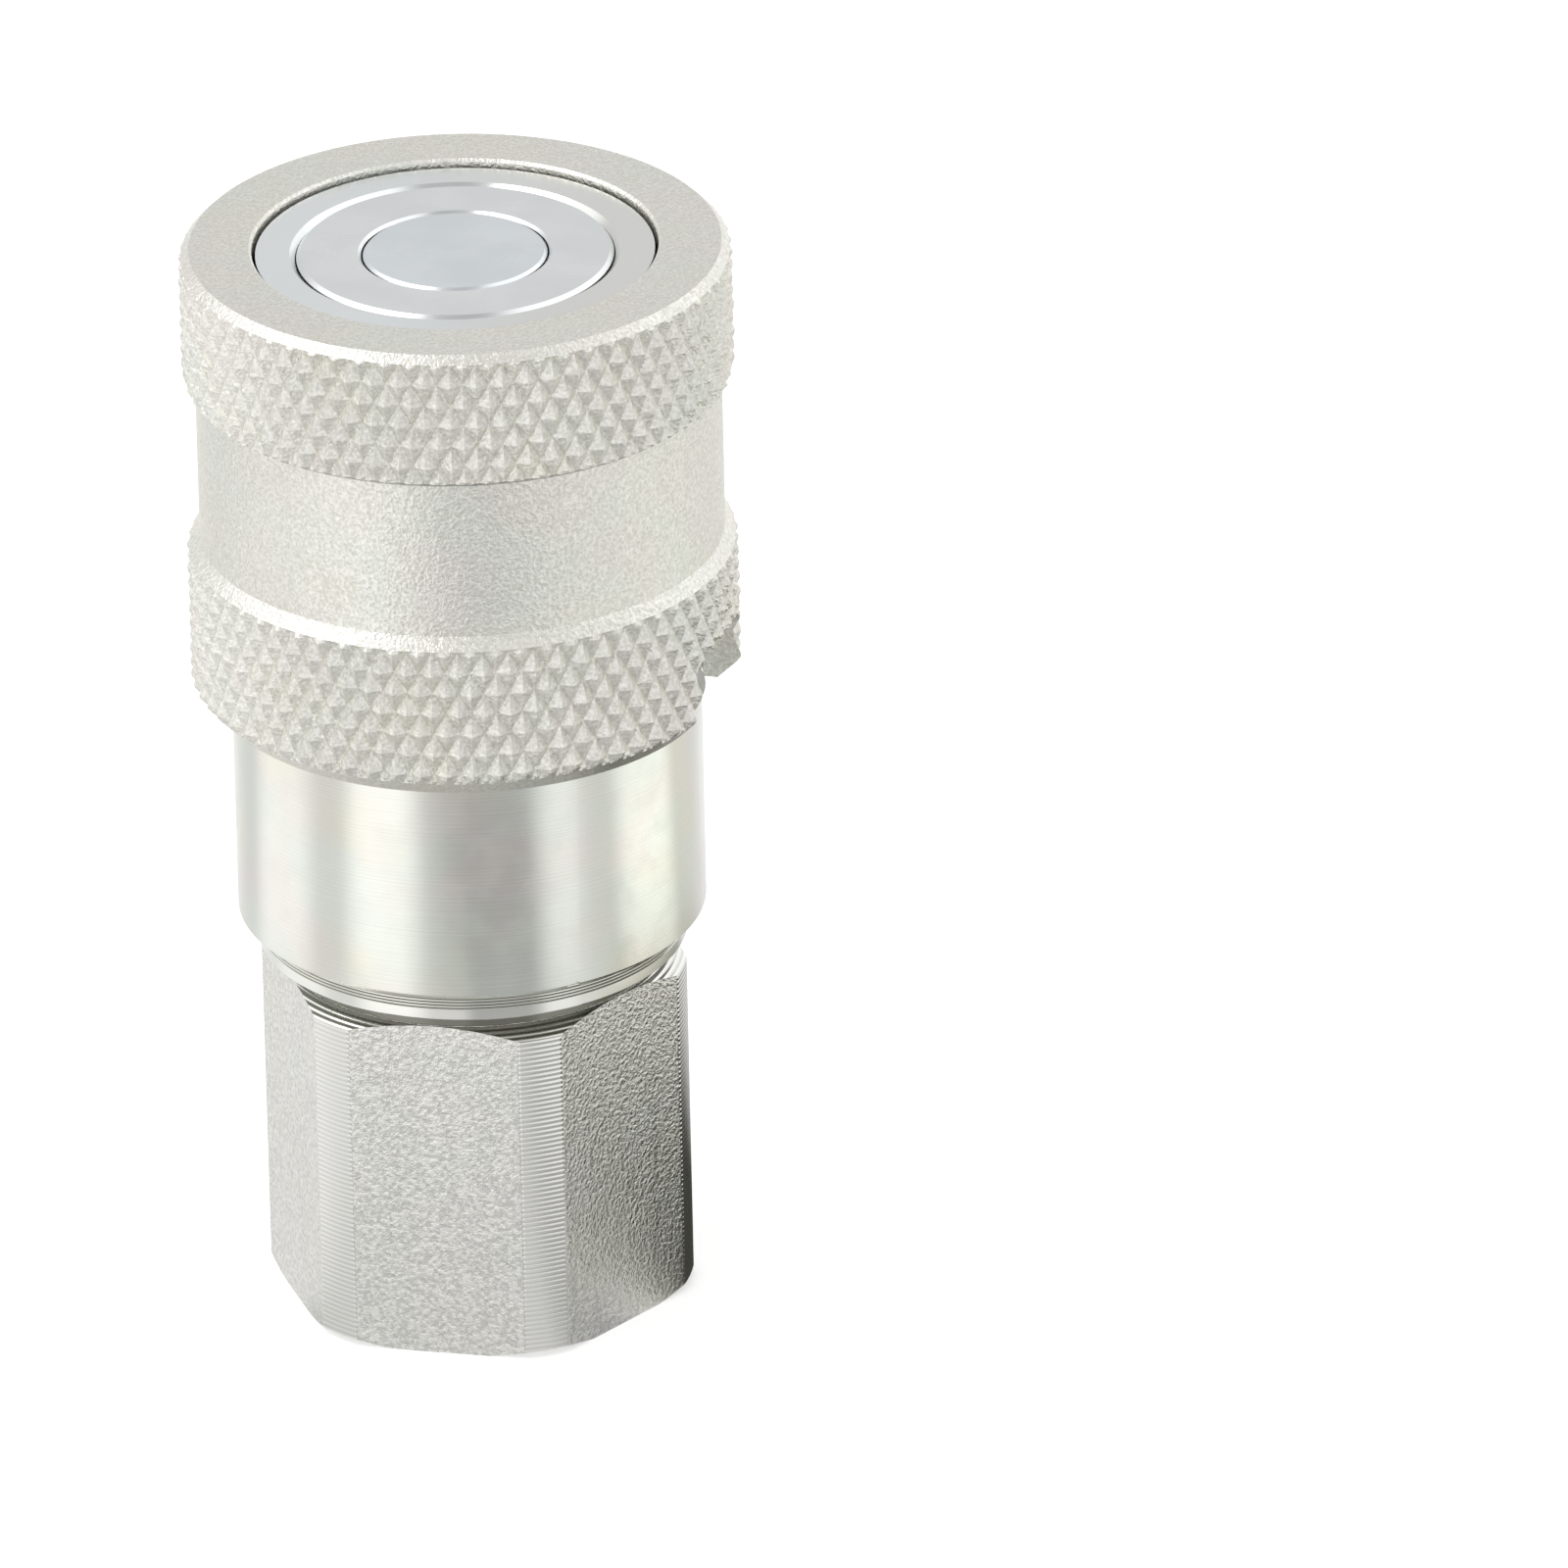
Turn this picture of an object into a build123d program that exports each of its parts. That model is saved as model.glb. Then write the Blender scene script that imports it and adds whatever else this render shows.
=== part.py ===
from build123d import *
import math
import os

# Flat-face hydraulic quick coupler, female half, standing on its hexagon end.
# Millimetres. The main axis is Z, the port opens down at z = 0 and the mouth is up.
# Every "_z" value is a height above the port face and every "_r" value is a radius.
# A "_drop" is counted down from the front of the body.

# Overall length, and how far the body's front lies behind the sleeve's
coupler_length = 58.0
face_recess = 0.4
body_face_z = coupler_length - face_recess

# Clearances
slide_clearance = 0.08
seal_clearance = 0.06
seat_clearance = 0.05
stop_clearance = 0.10
cut_margin = 0.5

# Row of balls that hold the plug
ball_count = 8
ball_r = 1.50
ball_drop = 5.8
ball_keeper_step = 0.15
ball_keeper_depth = 0.45
ball_z = body_face_z - ball_drop

# Front body: bore, nose, cylinder and valve chamber
bore_r = 8.12
nose_wall = 2.01
shoulder_width = 1.87
shoulder_drop = 18.6
bore_chamfer = 0.28
cylinder_edge = 0.30
chamber_step = 0.88
chamber_drop = 21.5
nose_r = bore_r + nose_wall
cylinder_r = nose_r + shoulder_width
shoulder_z = body_face_z - shoulder_drop
chamber_r = bore_r + chamber_step
chamber_top_z = body_face_z - chamber_drop

# Sliding valve sleeve, the wide ring in the mouth
valve_clearance = 0.07
valve_travel = 11.5
valve_flange_gap = 0.15
valve_flange_height = 1.5
valve_bore_r = 4.78
valve_land_length = 6.0
valve_inside_step = 1.22
valve_cone = 1.5
valve_outer_chamfer = 0.20
valve_inner_chamfer = 0.15
valve_r = bore_r - valve_clearance
valve_flange_r = chamber_r - valve_flange_gap
valve_inside_r = valve_bore_r + valve_inside_step
valve_low_z = chamber_top_z - stop_clearance - valve_flange_height

# Places of the balls, pushed out by the valve sleeve
ball_centre_r = valve_r + ball_r + seat_clearance
ball_outer_r = ball_centre_r + ball_r

# Locking sleeve, inside: lip, relief, land and bore
sleeve_length = 24.7
sleeve_travel = 1.8
lip_thickness = 1.0
lip_clearance = 0.23
lip_chamfer = 0.14
relief_gap = 0.35
land_clearance = 0.05
land_length = 3.0
sleeve_low_z = coupler_length - sleeve_length
sleeve_bore_r = cylinder_r + slide_clearance
relief_r = ball_outer_r + relief_gap
lip_low_z = coupler_length - lip_thickness
lip_r = nose_r + lip_clearance
land_r = nose_r + land_clearance

# The land's ramp has a slope of 45 degrees and rests on the balls
ramp_share = math.sqrt(0.5)
ramp_contact_r = ball_centre_r + ball_r * ramp_share
ramp_contact_z = ball_z - ball_r * ramp_share
land_top_z = ramp_contact_z - (ramp_contact_r - land_r) - stop_clearance / ramp_share
land_low_z = land_top_z - land_length

# Locking sleeve, outside: knurled bands, waist and edges
sleeve_wall = 2.02
knurl_depth = 0.60
knurl_count = 66
knurl_strip = 1.12
waist_step = 0.12
lower_band_length = 8.15
ramp_rise = 0.85
waist_length = 8.45
knurl_runout = 0.22
ramp_step = 0.02
face_chamfer = 0.60
rear_chamfer = 1.30
knurl_crest_r = sleeve_bore_r + sleeve_wall
knurl_root_r = knurl_crest_r - knurl_depth
waist_r = knurl_root_r - waist_step
sleeve_core_r = (sleeve_bore_r + knurl_crest_r - rear_chamfer) / 2
band_inner_r = (sleeve_bore_r + sleeve_core_r) / 2
ramp_foot_z = sleeve_low_z + lower_band_length
waist_low_z = ramp_foot_z + ramp_rise
waist_high_z = waist_low_z + waist_length

# Ball in the body that stands in the notch of the sleeve, and the notch
stop_ball_r = 1.25
stop_ball_sink = 0.60
stop_ball_centre_r = cylinder_r - stop_ball_sink
stop_ball_z = sleeve_low_z + stop_ball_r
notch_angle = -4.0
notch_width = 7.3
notch_corner_r = 1.5
notch_height = 2 * stop_ball_r + sleeve_travel + 2 * stop_clearance

# Wire ring that stops the locking sleeve at both ends of its travel
stop_wire_r = 0.50
stop_ring_reach = 0.57
stop_ring_play = 0.40
stop_ring_gap = 40.0
stop_ring_z = lip_low_z - sleeve_travel - stop_clearance - stop_wire_r
stop_ring_r = nose_r + stop_ring_reach - stop_wire_r
stop_groove_r = stop_ring_r - stop_wire_r - stop_ring_play

# Seal of the plug's nose, with its backup ring, behind the balls
nose_seal_wire_r = 0.62
backup_thickness = 1.0
nose_groove_wall = 0.70
nose_groove_width = 2 * nose_seal_wire_r + backup_thickness + 3 * seat_clearance
nose_groove_high_z = ball_z - ball_r - nose_groove_wall
nose_groove_low_z = nose_groove_high_z - nose_groove_width
nose_groove_r = bore_r + 2 * (nose_seal_wire_r + seal_clearance)

# Rear adapter: hexagon, neck and neck ring
hex_across_flats = 20.0
hex_corner_cut = 0.567
hex_top_z = 18.65
hex_base_chamfer = 0.40
crown_slope = math.tan(math.radians(30))
neck_groove_width = 0.85
neck_ring_height = 1.60
neck_ring_depth = 1.0
neck_ring_edge = 0.12
neck_wall = 1.5
flat_r = hex_across_flats / 2
hex_corner_r = flat_r / math.cos(math.radians(30)) - hex_corner_cut
neck_ring_z = hex_top_z + neck_groove_width
cylinder_low_z = neck_ring_z + neck_ring_height
neck_ring_r = cylinder_r - neck_ring_depth

# Rear adapter: port, nut chamber, spider seat, neck bore and spigot
port_r = 5.72
port_chamfer = 1.18
port_length = 12.0
nut_chamber_step = 0.88
nut_chamber_length = 3.0
spider_seat_width = 1.8
spigot_length = 6.4
spigot_wall = 1.30
nut_chamber_r = port_r + nut_chamber_step
spider_seat_z = port_length + nut_chamber_length
neck_bore_r = nut_chamber_r + spider_seat_width
neck_groove_r = neck_bore_r + neck_wall
spigot_r = chamber_r + spigot_wall
spigot_seat_r = spigot_r + seat_clearance
spigot_top_z = cylinder_low_z + spigot_length
spigot_bore_z = valve_low_z - valve_travel - 2 * cut_margin

# O-ring between the spigot's end and the body's inner shoulder
adapter_seal_room = spigot_seat_r - chamber_r
adapter_seal_wire_r = adapter_seal_room / 2 - seat_clearance
adapter_seal_top_z = spigot_top_z + adapter_seal_room

# Small dent in the body's lower edge that locks the screwed joint
stake_angle = -52.0
stake_r = 0.42

# Fixed stem, the disc in the middle of the mouth
stem_clearance = 0.10
stem_head_height = 6.4
stem_cone = 2.0
stem_rod_r = 2.60
stem_tail_r = 2.0
stem_tail_end = 0.5
stem_chamfer = 0.15
stem_seal_height = 1.7
stem_seal_depth = 1.05
stem_seal_drop = 2.2
stem_head_r = valve_bore_r - stem_clearance
stem_head_z = body_face_z - stem_head_height
stem_seal_high_z = body_face_z - stem_seal_drop
stem_seal_low_z = stem_seal_high_z - stem_seal_height
stem_seal_r = stem_head_r - stem_seal_depth

# Spider that carries the stem, with the nut under it
spider_thickness = 2.3
spider_slots = 5
spider_hub_r = 3.90
spider_slot_width = 2.0
spider_slot_angle = 50.0
nut_across_flats = 7.0
nut_height = 2.0
spider_top_z = spider_seat_z + spider_thickness
nut_low_z = spider_seat_z - nut_height

# Springs and washer
wire_sides = 12
valve_wire_d = 1.2
valve_spring_turns = 4.5
sleeve_wire_d = 1.2
sleeve_spring_turns = 4.0
washer_thickness = 0.6
washer_gap = 0.02
valve_spring_r = valve_inside_r + 0.5
sleeve_spring_r = (nose_r + sleeve_bore_r) / 2
washer_low_z = shoulder_z + washer_gap
sleeve_spring_low_z = washer_low_z + washer_thickness

# Ring that snaps in over the spider, round the valve's spring
spider_ring_thickness = 0.9
spider_ring_depth = 0.55
spider_ring_gap = 45.0
spider_ring_r = neck_bore_r + spider_ring_depth
spider_ring_inner_r = valve_spring_r + valve_wire_d / 2 + stop_clearance
spider_ring_high_z = spider_top_z + spider_ring_thickness


def turned(*points):
    """Solid of revolution about the main axis from (radius, height) points."""
    return revolve(Plane.XZ * Polygon(*points, align=None), Axis.Z)


def disc_at(radius, low_z, high_z):
    """Plain cylinder on the main axis between two heights."""
    return turned((0, low_z), (radius, low_z), (radius, high_z), (0, high_z))


def ring_at(inner_r, outer_r, low_z, high_z):
    """Plain ring on the main axis between two heights."""
    return turned((inner_r, low_z), (outer_r, low_z), (outer_r, high_z), (inner_r, high_z))


def round_ring(centre_r, wire_r, centre_z):
    """Ring of round section."""
    section = Plane.XZ * Pos(centre_r, centre_z) * Circle(wire_r)
    return revolve(section, Axis.Z)


def radial_plane(angle, radius, height):
    """Plane that faces outward at an angle counted from +X, with its own y axis upward."""
    turn = math.radians(angle)
    outward = Vector(math.cos(turn), math.sin(turn), 0)
    across = Vector(-math.sin(turn), math.cos(turn), 0)
    origin = outward * radius + Vector(0, 0, height)
    return Plane(origin=origin, x_dir=across, z_dir=outward)


def radial_hole(angle, hole_r, inner_r, outer_r, height):
    """Round cutter that runs outward from one radius to another."""
    return extrude(radial_plane(angle, inner_r, height) * Circle(hole_r), outer_r - inner_r)


def ring_sector(angle, span, inner_r, outer_r, low_z, high_z):
    """Piece of a ring, a given angle wide and centred on the angle counted from +X."""
    ring = ring_at(inner_r, outer_r, low_z, high_z)
    corners = [(0, 0)]
    for side in (-1, 1):
        turn = math.radians(angle + side * span / 2)
        corners.append((2 * outer_r * math.cos(turn), 2 * outer_r * math.sin(turn)))
    wedge = extrude(Pos(0, 0, low_z) * Polygon(*corners, align=None), high_z - low_z)
    return ring & wedge


def corner_row(height, even_r, odd_r):
    """Corners of one row of a knurled band, with two radii that take turns."""
    corners = []
    for step in range(2 * knurl_count):
        radius = odd_r if step % 2 else even_r
        turn = math.pi * step / knurl_count
        corners.append((radius * math.cos(turn), radius * math.sin(turn), height))
    return corners


def net_row(row, height):
    """Crests and groove crossings, which change places from row to row."""
    above_chamfer = height - (coupler_length - face_chamfer)
    crest_r = knurl_crest_r - max(above_chamfer, 0)
    if row % 2:
        return corner_row(height, knurl_root_r, crest_r)
    return corner_row(height, crest_r, knurl_root_r)


def net_facets(near, far, row):
    """Sides of the pyramids between two rows: two for each cell, which meet in a groove."""
    facets = []
    for step in range(2 * knurl_count):
        after = (step + 1) % (2 * knurl_count)
        if (row + step) % 2:
            halves = ((near[after], far[after], near[step]), (far[step], near[step], far[after]))
        else:
            halves = ((near[step], near[after], far[step]), (far[after], far[step], near[after]))
        facets += [Face(Wire.make_polygon(half)) for half in halves]
    return facets


def ring_facets(near, far):
    """Flat facets between two plain rings of corners."""
    facets = []
    for step in range(2 * knurl_count):
        after = (step + 1) % (2 * knurl_count)
        facets.append(Face(Wire.make_polygon((near[step], near[after], far[after], far[step]))))
    return facets


def knurled_band(low_rings, net_low_z, strips, high_rings):
    """Ring with a diamond knurl outside, between plain rings given as (radius, height)."""
    low = [corner_row(height, radius, radius) for radius, height in low_rings]
    net = [net_row(row, net_low_z + row * knurl_strip) for row in range(strips + 1)]
    high = [corner_row(height, radius, radius) for radius, height in high_rings]
    rows = low + net + high
    facets = []
    for index, (near, far) in enumerate(zip(rows, rows[1:])):
        if index + 1 < len(low) or index >= len(low) + len(net):
            facets += ring_facets(near, far)
        else:
            facets += net_facets(near, far, index - len(low))
    rims = (rows[0], rows[-1])
    holes = [corner_row(rim[0][2], band_inner_r, band_inner_r) for rim in rims]
    facets += ring_facets(*holes)
    for rim, hole in zip(rims, holes):
        facets.append(Face(Wire.make_polygon(rim), [Wire.make_polygon(hole)]))
    return Solid(Shell(facets))


def make_upper_band():
    """Knurled band at the mouth, with a chamfer above it."""
    chamfer_rings = (
        (knurl_crest_r - knurl_runout, coupler_length - face_chamfer + knurl_runout),
        (knurl_crest_r - face_chamfer, coupler_length),
    )
    strips = int((chamfer_rings[0][1] - waist_high_z) / knurl_strip)
    return knurled_band((), waist_high_z, strips, chamfer_rings)


def make_lower_band():
    """Knurled band at the rear, with a chamfer below it and the ramp to the waist above it."""
    chamfer_rings = (
        (knurl_crest_r - rear_chamfer, sleeve_low_z),
        (knurl_root_r, sleeve_low_z + rear_chamfer - knurl_depth),
    )
    ramp_slope = ramp_rise / (knurl_crest_r - waist_r)
    ramp_rings = (
        (knurl_crest_r - knurl_runout, ramp_foot_z + knurl_runout * ramp_slope),
        (waist_r + ramp_step, waist_low_z - ramp_step * ramp_slope),
    )
    strips = int((ramp_foot_z - chamfer_rings[1][1]) / knurl_strip)
    return knurled_band(chamfer_rings, ramp_foot_z - strips * knurl_strip, strips, ramp_rings)


def make_notch():
    """Cutter for the notch, with two rounded corners at its top."""
    outline = Rectangle(notch_width, 2 * notch_height)
    outline = fillet(outline.vertices().group_by(Axis.Y)[-1], notch_corner_r)
    start = radial_plane(notch_angle, cylinder_r - cut_margin, sleeve_low_z)
    return extrude(start * outline, knurl_crest_r - cylinder_r + 2 * cut_margin)


def make_locking_sleeve():
    """Knurled sleeve that the hand pulls back, with its lip, land and spring chamber."""
    core = turned(
        (sleeve_bore_r, sleeve_low_z),
        (sleeve_core_r, sleeve_low_z),
        (sleeve_core_r, ramp_foot_z),
        (waist_r, ramp_foot_z),
        (waist_r, waist_high_z + knurl_strip),
        (sleeve_core_r, waist_high_z + knurl_strip),
        (sleeve_core_r, coupler_length),
        (lip_r + lip_chamfer, coupler_length),
        (lip_r, coupler_length - lip_chamfer),
        (lip_r, lip_low_z),
        (relief_r, lip_low_z),
        (relief_r, land_top_z + relief_r - land_r),
        (land_r, land_top_z),
        (land_r, land_low_z),
        (sleeve_bore_r, land_low_z),
    )
    bands = make_upper_band() + make_lower_band()
    return (core + bands).cut(make_notch())


def make_ball_windows():
    """Cutters for the balls' holes, narrowed at the bore so that no ball can fall in."""
    keeper_r = bore_r + ball_keeper_depth
    cutters = []
    for index in range(ball_count):
        angle = 360 * index / ball_count
        cutters.append(radial_hole(angle, ball_r + seat_clearance, keeper_r, nose_r + cut_margin, ball_z))
        cutters.append(radial_hole(angle, ball_r - ball_keeper_step, bore_r - cut_margin, keeper_r, ball_z))
    return cutters


def make_front_body():
    """Body with the plug's bore, the balls' windows, the spring's shoulder and the valve chamber."""
    stop_low_z = stop_ring_z - stop_wire_r - seat_clearance
    stop_high_z = stop_ring_z + stop_wire_r + seat_clearance
    body = turned(
        (spigot_seat_r, cylinder_low_z),
        (cylinder_r - cylinder_edge, cylinder_low_z),
        (cylinder_r, cylinder_low_z + cylinder_edge),
        (cylinder_r, shoulder_z),
        (nose_r, shoulder_z),
        (nose_r, stop_low_z),
        (stop_groove_r, stop_low_z),
        (stop_groove_r, stop_high_z),
        (nose_r, stop_high_z),
        (nose_r, body_face_z),
        (bore_r + bore_chamfer, body_face_z),
        (bore_r, body_face_z - bore_chamfer),
        (bore_r, nose_groove_high_z),
        (nose_groove_r, nose_groove_high_z),
        (nose_groove_r, nose_groove_low_z),
        (bore_r, nose_groove_low_z),
        (bore_r, chamber_top_z),
        (chamber_r, chamber_top_z),
        (chamber_r, adapter_seal_top_z),
        (spigot_seat_r, adapter_seal_top_z),
    )
    pocket_r = stop_ball_r + seat_clearance
    pocket_floor_r = stop_ball_centre_r - pocket_r
    pocket = radial_hole(notch_angle, pocket_r, pocket_floor_r, cylinder_r + cut_margin, stop_ball_z)
    stake_floor_r = cylinder_r - 2 * cylinder_edge
    stake = radial_hole(stake_angle, stake_r, stake_floor_r, cylinder_r + cut_margin, cylinder_low_z)
    return body.cut(pocket, stake, *make_ball_windows())


def make_rear_adapter():
    """Adapter with the hexagon, the port, the spider's seat and the spigot."""
    hexagon = extrude(RegularPolygon(flat_r, 6, major_radius=False), hex_top_z)
    corners = turned(
        (0, 0),
        (hex_corner_r - hex_base_chamfer / crown_slope, 0),
        (hex_corner_r, hex_base_chamfer),
        (hex_corner_r, hex_top_z - (hex_corner_r - flat_r) * crown_slope),
        (flat_r, hex_top_z),
        (0, hex_top_z),
    )
    spigot = turned(
        (0, hex_top_z),
        (neck_groove_r, hex_top_z),
        (neck_groove_r, neck_ring_z),
        (neck_ring_r - neck_ring_edge, neck_ring_z),
        (neck_ring_r, neck_ring_z + neck_ring_edge),
        (neck_ring_r, cylinder_low_z),
        (spigot_r, cylinder_low_z),
        (spigot_r, spigot_top_z),
        (0, spigot_top_z),
    )
    passage = turned(
        (0, 0),
        (port_r + port_chamfer, 0),
        (port_r, port_chamfer),
        (port_r, port_length),
        (nut_chamber_r, port_length + nut_chamber_step),
        (nut_chamber_r, spider_seat_z),
        (neck_bore_r, spider_seat_z),
        (neck_bore_r, spider_top_z),
        (spider_ring_r, spider_top_z),
        (spider_ring_r, spider_ring_high_z + seat_clearance),
        (neck_bore_r, spider_ring_high_z + seat_clearance),
        (neck_bore_r, spigot_bore_z),
        (chamber_r, spigot_bore_z),
        (chamber_r, spigot_top_z),
        (0, spigot_top_z),
    )
    return ((hexagon & corners) + spigot).cut(passage)


def make_valve_sleeve():
    """Sliding ring that closes the mouth and frees the balls when the plug pushes it in."""
    land_z = body_face_z - valve_land_length
    return turned(
        (valve_inside_r, valve_low_z),
        (valve_flange_r, valve_low_z),
        (valve_flange_r, valve_low_z + valve_flange_height),
        (valve_r, valve_low_z + valve_flange_height),
        (valve_r, body_face_z - valve_outer_chamfer),
        (valve_r - valve_outer_chamfer, body_face_z),
        (valve_bore_r + valve_inner_chamfer, body_face_z),
        (valve_bore_r, body_face_z - valve_inner_chamfer),
        (valve_bore_r, land_z),
        (valve_inside_r, land_z - valve_cone),
    )


def make_valve_stem():
    """Fixed stem: head with the seal's groove, rod, and the tail that passes the spider."""
    tail_z = nut_low_z - stem_tail_end
    return turned(
        (0, tail_z),
        (stem_tail_r - stem_chamfer, tail_z),
        (stem_tail_r, tail_z + stem_chamfer),
        (stem_tail_r, spider_top_z),
        (stem_rod_r, spider_top_z),
        (stem_rod_r, stem_head_z - stem_cone),
        (stem_head_r, stem_head_z),
        (stem_head_r, stem_seal_low_z),
        (stem_seal_r, stem_seal_low_z),
        (stem_seal_r, stem_seal_high_z),
        (stem_head_r, stem_seal_high_z),
        (stem_head_r, body_face_z - stem_chamfer),
        (stem_head_r - stem_chamfer, body_face_z),
        (0, body_face_z),
    )


def make_stem_seal():
    """Square-section seal in the groove of the stem's head."""
    inner_r = stem_seal_r + seat_clearance
    outer_r = valve_bore_r - seal_clearance
    return ring_at(inner_r, outer_r, stem_seal_low_z + seat_clearance, stem_seal_high_z - seat_clearance)


def make_spider():
    """Disc that carries the stem, with slots for the oil."""
    low_z = spider_seat_z - cut_margin
    high_z = spider_top_z + cut_margin
    slot_r = spider_hub_r + spider_slot_width
    spider = ring_at(stem_tail_r + seat_clearance, neck_bore_r - seat_clearance, spider_seat_z, spider_top_z)
    for index in range(spider_slots):
        angle = 90 + 360 * index / spider_slots
        spider = spider.cut(ring_sector(angle, spider_slot_angle, spider_hub_r, slot_r, low_z, high_z))
    return spider


def make_spider_ring():
    """Spring ring that snaps in over the spider, open at one side."""
    outer_r = spider_ring_r - seat_clearance
    low_z = spider_top_z - cut_margin
    high_z = spider_ring_high_z + cut_margin
    gap = ring_sector(90, spider_ring_gap, stem_rod_r, outer_r + cut_margin, low_z, high_z)
    return ring_at(spider_ring_inner_r, outer_r, spider_top_z, spider_ring_high_z).cut(gap)


def make_stem_nut():
    """Hexagon nut on the stem's tail, under the spider."""
    outline = RegularPolygon(nut_across_flats / 2, 6, major_radius=False)
    nut = extrude(Pos(0, 0, nut_low_z) * outline, nut_height)
    return nut.cut(disc_at(stem_tail_r + seat_clearance, nut_low_z - cut_margin, spider_seat_z + cut_margin))


def make_stop_ring():
    """Wire ring in the body's groove, open at one side so that it can be closed up for fitting."""
    low_z = stop_ring_z - 2 * stop_wire_r
    high_z = stop_ring_z + 2 * stop_wire_r
    outer_r = stop_ring_r + 2 * stop_wire_r
    gap = ring_sector(90, stop_ring_gap, valve_bore_r, outer_r, low_z, high_z)
    return round_ring(stop_ring_r, stop_wire_r, stop_ring_z).cut(gap)


def make_nose_seal():
    """O-ring in the body's bore."""
    centre_r = bore_r + seal_clearance + nose_seal_wire_r
    return round_ring(centre_r, nose_seal_wire_r, nose_groove_low_z + seat_clearance + nose_seal_wire_r)


def make_backup_ring():
    """Flat ring that keeps the O-ring from creeping into the gap."""
    high_z = nose_groove_high_z - seat_clearance
    inner_r = bore_r + seat_clearance
    return ring_at(inner_r, nose_groove_r - seat_clearance, high_z - backup_thickness, high_z)


def make_adapter_seal():
    """O-ring between the adapter's spigot and the body's inner shoulder."""
    centre_r = chamber_r + adapter_seal_room / 2
    return round_ring(centre_r, adapter_seal_wire_r, spigot_top_z + adapter_seal_room / 2)


def make_spring(mean_r, wire_d, low_z, high_z, turns):
    """Compression spring with both ends ground flat, its wire drawn with a few sides to keep it light."""
    height = high_z - low_z
    path = Helix(pitch=height / turns, height=height, radius=mean_r)
    section = Plane(origin=path @ 0, z_dir=path % 0) * RegularPolygon(wire_d / 2, wire_sides)
    coil = Pos(0, 0, low_z) * sweep(section, path=path, is_frenet=True)
    return coil & disc_at(mean_r + wire_d, low_z, high_z)


def make_washer():
    """Flat washer on which the sleeve's spring can turn."""
    inner_r = nose_r + slide_clearance
    outer_r = cylinder_r - slide_clearance
    return ring_at(inner_r, outer_r, washer_low_z, washer_low_z + washer_thickness)


def make_ball(centre_r, angle, height, radius):
    """Ball at an angle counted from +X."""
    place = radial_plane(angle, centre_r, height).origin
    return Pos(place.X, place.Y, place.Z) * Sphere(radius)


parts = {
    "locking_sleeve": make_locking_sleeve(),
    "front_body": make_front_body(),
    "rear_adapter": make_rear_adapter(),
    "valve_sleeve": make_valve_sleeve(),
    "valve_stem": make_valve_stem(),
    "stem_seal": make_stem_seal(),
    "stem_spider": make_spider(),
    "spider_ring": make_spider_ring(),
    "stem_nut": make_stem_nut(),
    "nose_seal": make_nose_seal(),
    "nose_backup_ring": make_backup_ring(),
    "adapter_seal": make_adapter_seal(),
    "sleeve_stop_ring": make_stop_ring(),
    "spring_washer": make_washer(),
    "valve_spring": make_spring(valve_spring_r, valve_wire_d, spider_top_z, valve_low_z, valve_spring_turns),
    "sleeve_spring": make_spring(
        sleeve_spring_r, sleeve_wire_d, sleeve_spring_low_z, land_low_z, sleeve_spring_turns
    ),
    "turn_stop_ball": make_ball(stop_ball_centre_r, notch_angle, stop_ball_z, stop_ball_r),
}
for number in range(ball_count):
    ball_angle = 360 * number / ball_count
    parts[f"lock_ball_{number + 1}"] = make_ball(ball_centre_r, ball_angle, ball_z, ball_r)

os.makedirs("parts", exist_ok=True)
for node, solid in parts.items():
    export_step(solid, f"parts/{node}.step")
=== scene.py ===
"""Looks of a flat-face hydraulic quick coupler, female half, standing on its hexagon end.

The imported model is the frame, in metres. Sizes in this script are in millimetres, as on a
workshop drawing, and are turned into metres where a mesh is made.
"""

import logging
import math
from dataclasses import dataclass
from enum import Enum
from typing import Iterable, Sequence

import bmesh
import bpy
from mathutils import Matrix, Vector, noise


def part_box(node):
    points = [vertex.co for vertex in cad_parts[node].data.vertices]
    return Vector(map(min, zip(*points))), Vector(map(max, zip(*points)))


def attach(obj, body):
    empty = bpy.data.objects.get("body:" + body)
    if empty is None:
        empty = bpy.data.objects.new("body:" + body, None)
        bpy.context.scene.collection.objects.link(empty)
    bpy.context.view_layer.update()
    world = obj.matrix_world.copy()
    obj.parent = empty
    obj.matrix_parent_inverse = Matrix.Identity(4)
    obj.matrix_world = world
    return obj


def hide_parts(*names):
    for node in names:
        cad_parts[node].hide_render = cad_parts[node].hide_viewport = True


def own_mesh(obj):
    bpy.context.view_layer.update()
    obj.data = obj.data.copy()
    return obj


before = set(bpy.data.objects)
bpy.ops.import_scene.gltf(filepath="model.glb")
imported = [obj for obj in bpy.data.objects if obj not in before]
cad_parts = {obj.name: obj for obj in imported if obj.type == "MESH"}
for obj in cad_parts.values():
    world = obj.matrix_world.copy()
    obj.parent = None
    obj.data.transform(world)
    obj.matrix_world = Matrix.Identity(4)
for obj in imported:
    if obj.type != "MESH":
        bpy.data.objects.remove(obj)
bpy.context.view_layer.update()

MM = 0.001
NEAR = 0.01  # mm: two sizes closer than this are the same
CHAMFER_SLOPE = math.tan(math.radians(30))  # of the chamfers that turn a hexagon's corners down
LOG = logging.getLogger("coupler")

Socket = bpy.types.NodeSocket
Colour = tuple[float, float, float]
ProfilePoint = tuple[float, float]


class Slot(Enum):
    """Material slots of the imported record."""

    SLEEVE = "sleeve_zinc"
    ADAPTER = "adapter_zinc"
    SPRING = "spring_steel"


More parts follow.
